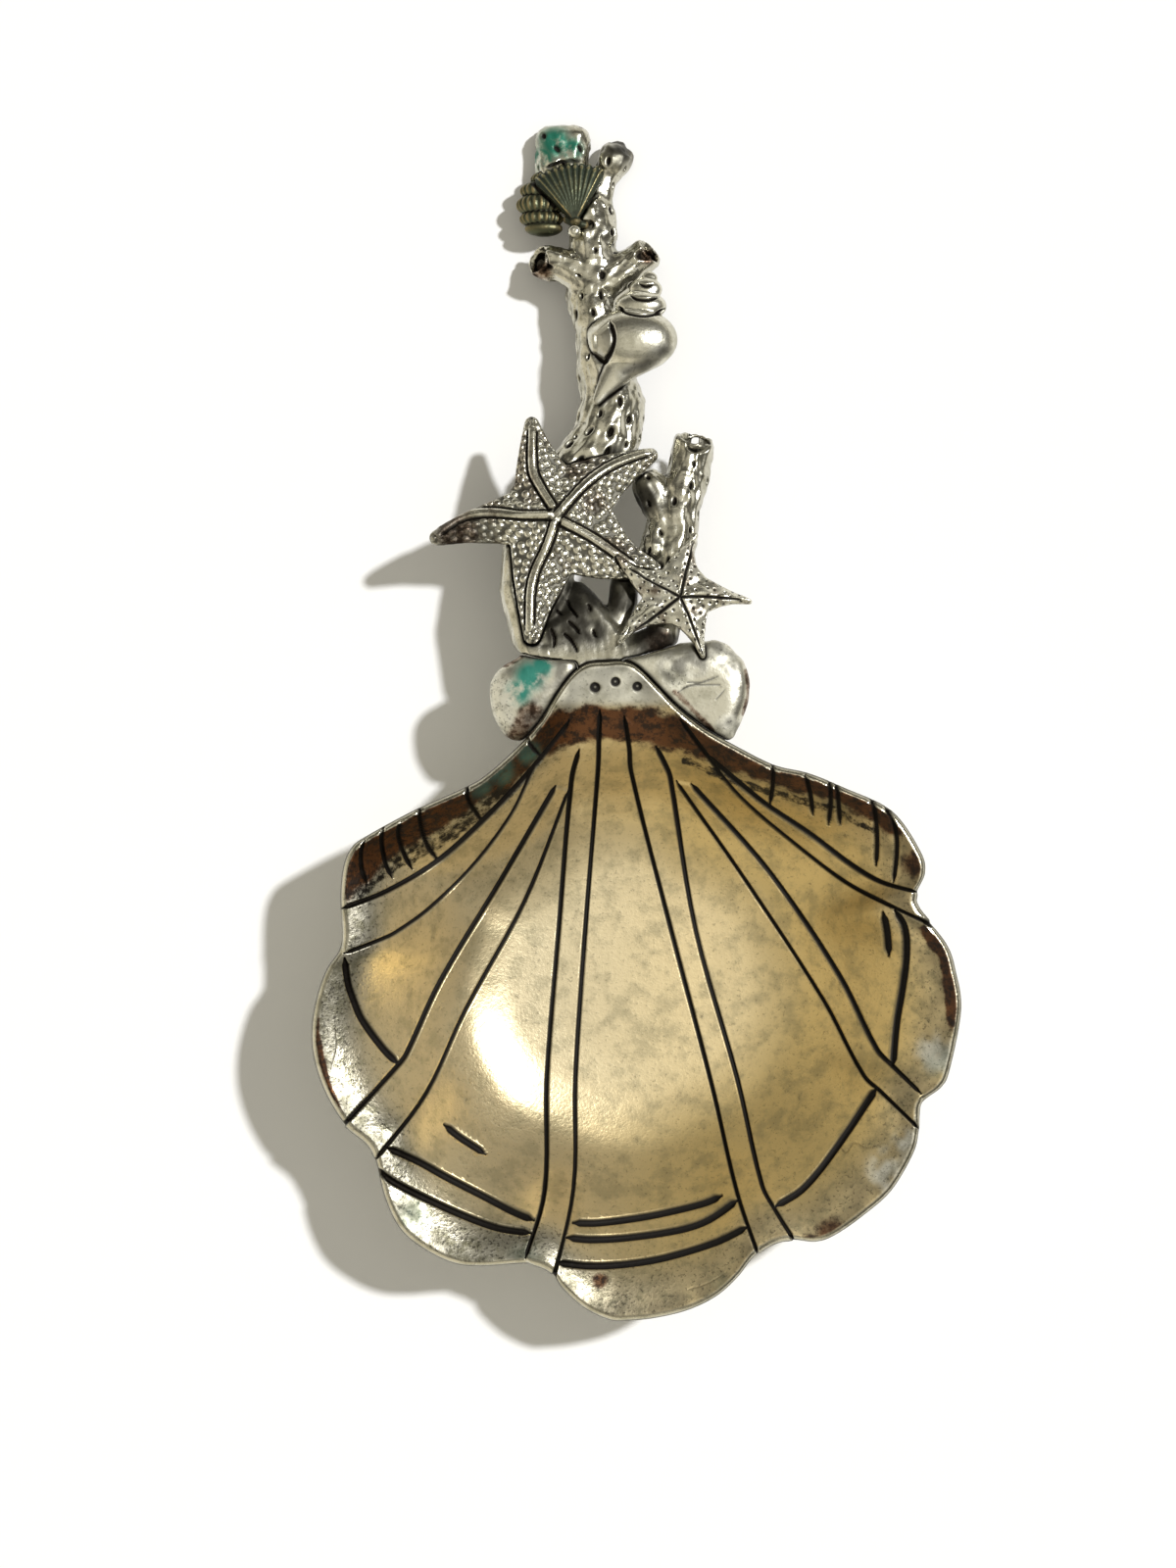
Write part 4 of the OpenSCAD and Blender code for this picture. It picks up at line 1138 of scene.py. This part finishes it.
def fan_blade(form):
    """Ribbed blade of the fan, a closed polar skin."""
    turns = np.radians(np.linspace(FAN_FIRST, FAN_LAST, FAN_STEPS))
    phase = (np.degrees(turns) - FAN_FIRST) / (FAN_LAST - FAN_FIRST) * FAN_RIBS
    rib = np.abs(np.sin(phase * math.pi)) ** 0.7
    edge = eased(np.minimum(phase, FAN_RIBS - phase) / 0.8)
    reach = (FAN_RADIUS - 0.55) * (0.93 + 0.07 * edge) + 0.4 * rib - 0.15
    rows = []
    for share in np.append(np.linspace(0.06, 0.97, FAN_ROWS), [0.985, 0.995, 1.0]):
        dome = math.sqrt(max(0.0, 1 - ((share - 0.40) / 0.66) ** 2))
        height = FAN_PLATE + dome * (0.45 + 0.40 * edge) + 0.24 * share * rib * edge
        height = height * (1 - 0.45 * above(share, 0.9, 0.1))
        radius = share * reach
        rows.append(np.column_stack([FAN_HINGE[0] + radius * np.cos(turns),
                                     FAN_HINGE[1] + radius * np.sin(turns), FAN_SEAT + height]))
    under = [row * (1, 1, 0) + (0, 0, FAN_SEAT) for row in rows[::-1]]
    made = [[form.verts.new(p) for p in from_handle(row)] for row in rows + under]
    quads(form, made + made[:1])
    for side in (0, -1):
        ends = [row[side] for row in made]
        for i in range(len(ends) // 2 - 1):
            form.faces.new((ends[i], ends[i + 1], ends[-2 - i], ends[-1 - i]))
    bmesh.ops.recalc_face_normals(form, faces=form.faces)


def make_fan(material):
    form = bmesh.new()
    fan_blade(form)
    seat = np.array([*FAN_HINGE, FAN_SEAT])
    for knob in FAN_KNOBS:
        blobs = [ellipsoid(seat + place, radii, 24, 12) for place, radii in knob]
        add_hull(form, from_handle(np.vstack(blobs)))
    piece = remeshed("fan_scallop_cast", form, FAN_SKIN)
    mesh, points, normals = surface(piece)
    radius = plan_gap(to_handle(points), FAN_HINGE)
    sunken = hollows(mesh, 8)
    crest = below(sunken, -0.018, 0.016)
    # Painted shade on the sides, beside oxide between the ribs and dark metal at the hinge
    oxide = most(0.9 * above(sunken, 0.004, 0.05), 0.9 * contact(points, "fan_scallop"),
                 0.8 * sideways(normals, 0.2), 0.5 * below(radius, 1.9, 0.8),
                 0.35 * (1 - crest))
    # The crests get a painted gold highlight
    finish_piece(piece, "fan_scallop", "fan_pewter", material, oxide=oxide,
                 patina=(0.6 + 0.4 * above(radius, 3.2, 3)) * (1 - 0.8 * crest),
                 warm=crest * (0.35 + 0.5 * below(radius, 4.5, 3)))


# Bands of the turban shell: place as shares of the handle's length and radii as shares of
# the shell's width, and the number of ribs on each
TURBAN_WIDTH, TURBAN_LEVEL = 5.6, 1.512
TURBAN_BANDS = [(-0.131, 0.894, 0.26, 0.16), (-0.136, 0.872, 0.40, 0.20),
                (-0.139, 0.845, 0.44, 0.24), (-0.136, 0.819, 0.41, 0.18),
                (-0.132, 0.801, 0.36, 0.15)]
TURBAN_RIBS = (15, 19, 21, 19, 0)
TURBAN_AROUND, TURBAN_RINGS = 160, 40


def turban_band(row, ribs):
    """One rounded band of the turban shell, ribbed across."""
    x, y, wide, tall = row
    points = ellipsoid((0, 0, 0), (1, 1, 1), TURBAN_AROUND, TURBAN_RINGS)
    turn = np.arctan2(points[:, 1], points[:, 0])
    round_share = np.hypot(points[:, 0], points[:, 1])
    ripple = 1 + (0.045 * np.cos(ribs * turn) * round_share ** 2 if ribs else 0)
    wide, tall = wide * TURBAN_WIDTH * 0.985, tall * TURBAN_WIDTH
    height = TURBAN_LEVEL + points[:, 1] * ripple * 1.08 * wide * 0.5
    return np.column_stack([x * HANDLE_LENGTH + points[:, 0] * ripple * wide,
                            y * HANDLE_LENGTH + points[:, 2] * tall, np.maximum(0.0, height)])


def add_globe(form, points, around):
    """Closed skin over rings of points whose first and last are poles."""
    made = [form.verts.new(p) for p in points]
    rings = [made[j:j + around] for j in range(0, len(made), around)]
    quads(form, [ring + ring[:1] for ring in rings])


def close_globes(form):
    bmesh.ops.remove_doubles(form, verts=form.verts, dist=1e-5)
    bmesh.ops.recalc_face_normals(form, faces=form.faces)


def make_turban(material):
    form = bmesh.new()
    for row, ribs in zip(TURBAN_BANDS, TURBAN_RIBS):
        add_globe(form, from_handle(turban_band(row, ribs)), TURBAN_AROUND)
    close_globes(form)
    piece = remeshed("turban_shell_cast", form, FAN_SKIN)
    mesh, points, normals = surface(piece)
    sunken = hollows(mesh, 10)
    # Painted shade on the sides; the crests get a painted gold highlight
    oxide = most(above(sunken, -0.005, 0.05), contact(points, "turban_shell"),
                 0.85 * sideways(normals, 0.25), np.full(len(points), 0.30))
    finish_piece(piece, "turban_shell", "fan_pewter", material, oxide=oxide,
                 patina=np.full(len(points), 0.12), warm=0.7 * below(sunken, -0.01, 0.03))


PEARL_PLACE = np.array([-0.076 * HANDLE_LENGTH, 0.785 * HANDLE_LENGTH, 3.3])
# Radius and height of the bead's outline, from its foot to the dimple on top
PEARL_OUTLINE = [(0.0, -0.70), (0.40, -0.62), (0.64, -0.36), (0.70, -0.10), (0.66, 0.02),
                 (0.68, 0.12), (0.66, 0.30), (0.52, 0.53), (0.30, 0.66), (0.12, 0.68),
                 (0.0, 0.66)]
PEARL_AROUND = 48


def make_pearl(material):
    turns = np.linspace(0, FULL_TURN, PEARL_AROUND, endpoint=False)
    circle = np.column_stack([np.cos(turns), np.sin(turns), np.zeros(PEARL_AROUND)])
    rings = [PEARL_PLACE + r * circle + (0, 0, z)
             for r, z in smooth_line(np.array(PEARL_OUTLINE), 5)]
    form = bmesh.new()
    add_globe(form, from_handle(np.vstack(rings)), PEARL_AROUND)
    close_globes(form)
    piece = placed("pearl_bead", mesh_of("pearl_bead", form))
    height = to_handle(get_points(piece.data))[:, 2] - PEARL_PLACE[2]
    finish_piece(piece, "pearl", "shell_pewter", material,
                 oxide=eased(1.4 - np.abs(height - 0.02) / 0.06))


# The ears of the scallop's hinge: outlines, scratches, stains and patches of painted shade
LEFT_EAR = {
    "outline": [(533, 668), (524, 673), (517, 677), (510, 682), (504, 689), (500, 697),
                (499, 707), (501, 721), (504, 733), (510, 744), (517, 752), (525, 757)],
    "scratches": [], "teal": [((541, 690), 1.6), ((530, 706), 1.3), ((553, 680), 1.2)],
    "rust": [(0.9, [(541, 726), (534, 738), (528, 750)]), (0.3, [(516, 677), (531, 670)])],
    "speckled": [((508, 700), 1.5), ((510, 720), 1.4), ((514, 738), 1.3)],
    "shade": [((563, 700), 1.4), ((551, 718), 1.3), ((574, 686), 1.1), ((543, 733), 1.0)]}
RIGHT_EAR = {
    "outline": [(721, 651), (731, 653), (743, 658), (751, 666), (759, 674), (763, 684),
                (765, 696), (765, 704), (764, 716), (760, 729), (756, 740), (750, 750),
                (747, 755)],
    "scratches": [[(701, 696), (713, 697), (723, 694), (733, 690)],
                  [(691, 707), (703, 700), (718, 699), (735, 699)], [(730, 714), (740, 704)]],
    "teal": [],
    "rust": [(0.22, [(688, 706), (705, 723), (726, 745)]),
             (0.20, [(761, 685), (764, 698), (763, 712), (759, 728)])],
    "speckled": [((738, 668), 1.5), ((744, 745), 1.3), ((690, 690), 1.5)],
    "shade": [((730, 664), 1.0), ((740, 672), 1.0), ((746, 684), 0.8), ((743, 743), 1.1),
              ((700, 672), 1.4), ((686, 682), 1.4), ((712, 680), 1.0)]}
EAR_LEVEL = 12.9
EAR_BINS = 90
SCRATCH_WIDTH, SCRATCH_DEPTH = 0.18, 0.06


def reshaped(points, pixels):
    """Moves the rim of a low dome to a traced outline, and the rest with it."""
    outline = smooth_line(level_places(pixels, EAR_LEVEL))
    middle = (points[:, :2].min(0) + points[:, :2].max(0)) / 2
    rays = outline - middle
    facing = math.atan2(*rays[len(rays) // 2, ::-1])
    turn, target = turned(rays, facing), np.linalg.norm(rays, axis=1)
    order = np.argsort(turn)
    offset = points[:, :2] - middle
    at, reach = turned(offset, facing), np.linalg.norm(offset, axis=1)
    cell = np.clip(((at / math.pi + 1) * EAR_BINS / 2).astype(int), 0, EAR_BINS - 1)
    edge = np.zeros(EAR_BINS)
    np.maximum.at(edge, cell, reach)
    centres = (np.arange(EAR_BINS) + 0.5) * 2 * math.pi / EAR_BINS - math.pi
    edge = np.interp(at, centres, edge)
    wanted = np.interp(at, turn[order], target[order])
    inside = eased(np.minimum(at - turn.min(), turn.max() - at) / 0.15)
    factor = 1 + (wanted / edge - 1) * inside * above(reach / edge, 0.2, 0.6)
    moved = points.copy()
    moved[:, :2] = middle + offset * factor[:, None]
    return moved


def turned(rays, facing):
    """Angles of rays from a way they face, between half a turn to either side."""
    return np.mod(np.arctan2(rays[:, 1], rays[:, 0]) - facing + math.pi, FULL_TURN) - math.pi


def make_ear(name, node, material, looks):
    piece = cast_over(name, node, EAR_SKIN)
    set_points(piece.data, reshaped(get_points(piece.data), looks["outline"]))
    mesh, points, normals = surface(piece)
    cut = grooves(points, solid_tree(node), looks["scratches"], SCRATCH_WIDTH, 1.0)
    cut = cut * upward(normals)
    swell = 0.05 * field(points, 3.0, 6.0)
    carved(mesh, points, normals, swell - SCRATCH_DEPTH * cut - SHELL_INSET)
    ragged = eased(0.65 + field(points, 1.2, 3.0))
    # Painted shade on the sides and in patches, beside darkened scratches
    oxide = most(0.6 * cut, 0.9 * contact(points, node), 0.2 * sideways(normals, 0.30, 0.6),
                 0.5 * stained(points, looks["shade"]) * ragged)
    speckled = stained(points, looks["speckled"])
    finish_piece(piece, node, "ear_pewter", material, oxide=oxide,
                 patina=stained(points, looks["teal"]), rust=0.55 * banded(points, looks["rust"]),
                 mottle=0.5 * speckled, worn=0.6 * speckled)


# The scene round the spoon
def make_camera():
    data = bpy.data.cameras.new("camera")
    data.sensor_width = SENSOR_MM
    data.lens = SENSOR_MM / 2 / (IMAGE_HEIGHT / 2 * PIXEL_SLOPE)
    data.clip_start, data.clip_end = 0.01, 10
    camera = placed("camera", data)
    camera.location = CAMERA_MM * MM
    bpy.context.scene.camera = camera


# Way from the spoon to the lamp, its width as seen from there in degrees, and strength
LAMP_WAY = Vector((0.64, 0.34, 1.0))
LAMP_WIDTH, LAMP_STRENGTH = 3.5, 2.95


def make_lamp():
    data = bpy.data.lights.new("lamp", "SUN")
    data.angle = math.radians(LAMP_WIDTH)
    data.energy = LAMP_STRENGTH
    placed("lamp", data).rotation_euler = LAMP_WAY.to_track_quat("Z", "Y").to_euler()


# Light of the studio by height above the horizon, from 0 to 1 overhead
STUDIO_STOPS = [(0.0, 0.88), (0.10, 0.60), (0.28, 0.11), (0.60, 0.10), (0.78, 0.32),
                (0.92, 0.66), (1.0, 0.76)]
STUDIO_TINT = (1.0, 0.95, 0.80)
# A pale wall opposite the lamp, which only the metal shows
FILL_WAY, FILL_COLOUR = (-0.72, -0.69), (1.0, 0.93, 0.76, 1)


def make_world():
    """A soft ceiling of light, dark below it and pale at the horizon."""
    world = bpy.data.worlds.new("studio")
    bpy.context.scene.world = world
    tree = empty_tree(world)
    way = node_of(tree, "ShaderNodeTexCoord").outputs["Generated"]
    east, north, height = node_of(tree, "ShaderNodeSeparateXYZ", {0: way}).outputs
    ramp = node_of(tree, "ShaderNodeValToRGB", {0: height})
    ramp.color_ramp.elements[1].position = 1.0
    for place, _ in STUDIO_STOPS[1:-1]:
        ramp.color_ramp.elements.new(place)
    for element, (_, level) in zip(ramp.color_ramp.elements, STUDIO_STOPS):
        element.color = (*(level * tint for tint in STUDIO_TINT), 1)
    toward = summed(tree, 0.0, (east, FILL_WAY[0]), (north, FILL_WAY[1]))
    low = math_node(tree, "SUBTRACT", 1.0, ramped(tree, height, 0.48, 0.80))
    mirrored = node_of(tree, "ShaderNodeLightPath").outputs["Is Glossy Ray"]
    fill = times(tree, times(tree, low, ramped(tree, toward, 0.1, 0.65)), mirrored)
    lit = mixed(tree, fill, ramp.outputs[0], FILL_COLOUR)
    studio = node_of(tree, "ShaderNodeBackground", {0: lit, 1: 1.0})
    node_of(tree, "ShaderNodeOutputWorld", {0: studio.outputs[0]})


# Half the floor's side and how far it lies under the spoon, in metres, and its colours
FLOOR_HALF, FLOOR_DROP = 1.5, 0.00002
FLOOR_PALE, FLOOR_GLOW, GLOW_STRENGTH = (0.92, 0.92, 0.92, 1), (1, 0.95, 0.8, 1), 0.06


def make_floor():
    mesh = bpy.data.meshes.new("floor")
    corners = [(x * FLOOR_HALF, y * FLOOR_HALF, 0) for x, y in ((-1, -1), (1, -1), (1, 1), (-1, 1))]
    mesh.from_pydata(corners, [], [(0, 1, 2, 3)])
    material = bpy.data.materials.new("floor_white")
    tree = empty_tree(material)
    paper = node_of(tree, "ShaderNodeBsdfDiffuse", {"Color": FLOOR_PALE}).outputs[0]
    glow = node_of(tree, "ShaderNodeEmission", {0: FLOOR_GLOW, 1: GLOW_STRENGTH}).outputs[0]
    lit = node_of(tree, "ShaderNodeAddShader", {0: paper, 1: glow}).outputs[0]
    path = node_of(tree, "ShaderNodeLightPath").outputs
    shown = math_node(tree, "MAXIMUM", path["Is Camera Ray"], path["Is Glossy Ray"])
    mix = node_of(tree, "ShaderNodeMixShader", {0: shown, 1: paper, 2: lit})
    node_of(tree, "ShaderNodeOutputMaterial", {0: mix.outputs[0]})
    mesh.materials.append(material)
    floor = placed("floor", mesh)
    floor.location.z = -FLOOR_DROP


SILVER = (0.70, 0.68, 0.58, 1)
WARM_SILVER = (0.60, 0.57, 0.46, 1)
CORAL_SILVER = (0.57, 0.55, 0.46, 1)
FAN_GREY = (0.15, 0.165, 0.10, 1)
FAN_GREEN = (0.020, 0.045, 0.022, 1)

make_camera()
make_world()
make_lamp()
make_floor()

make_bowl(pewter("bowl_pewter", WARM_SILVER, PATINA_GREEN, grain=0.07))
ear_metal = pewter("ear_pewter", SILVER, polish=0.28, grain=0.05)
make_ear("ear_left_cast", "hinge_ear_left", ear_metal, LEFT_EAR)
make_ear("ear_right_cast", "hinge_ear_right", ear_metal, RIGHT_EAR)
coral_metal = pewter("coral_pewter", CORAL_SILVER, TIP_TEAL, grain=0.06)
make_coral("coral_root", coral_metal, 3, spacing=None, bark=0.35, strokes=ROOT_STROKES)
make_coral("coral_stem", coral_metal, 1, bulb=TIP_BULB)
make_coral("coral_branch", coral_metal, 2)
star_metal = pewter("starfish_pewter", SILVER, polish=0.22)
make_large_star(star_metal)
make_small_star(star_metal)
shell_metal = pewter("shell_pewter", SILVER, polish=0.26, grain=0.05)
make_whelk(shell_metal)
make_pearl(shell_metal)
fan_metal = pewter("fan_pewter", FAN_GREY, FAN_GREEN)
make_fan(fan_metal)
make_turban(fan_metal)

bpy.context.scene.view_settings.view_transform = "Standard"
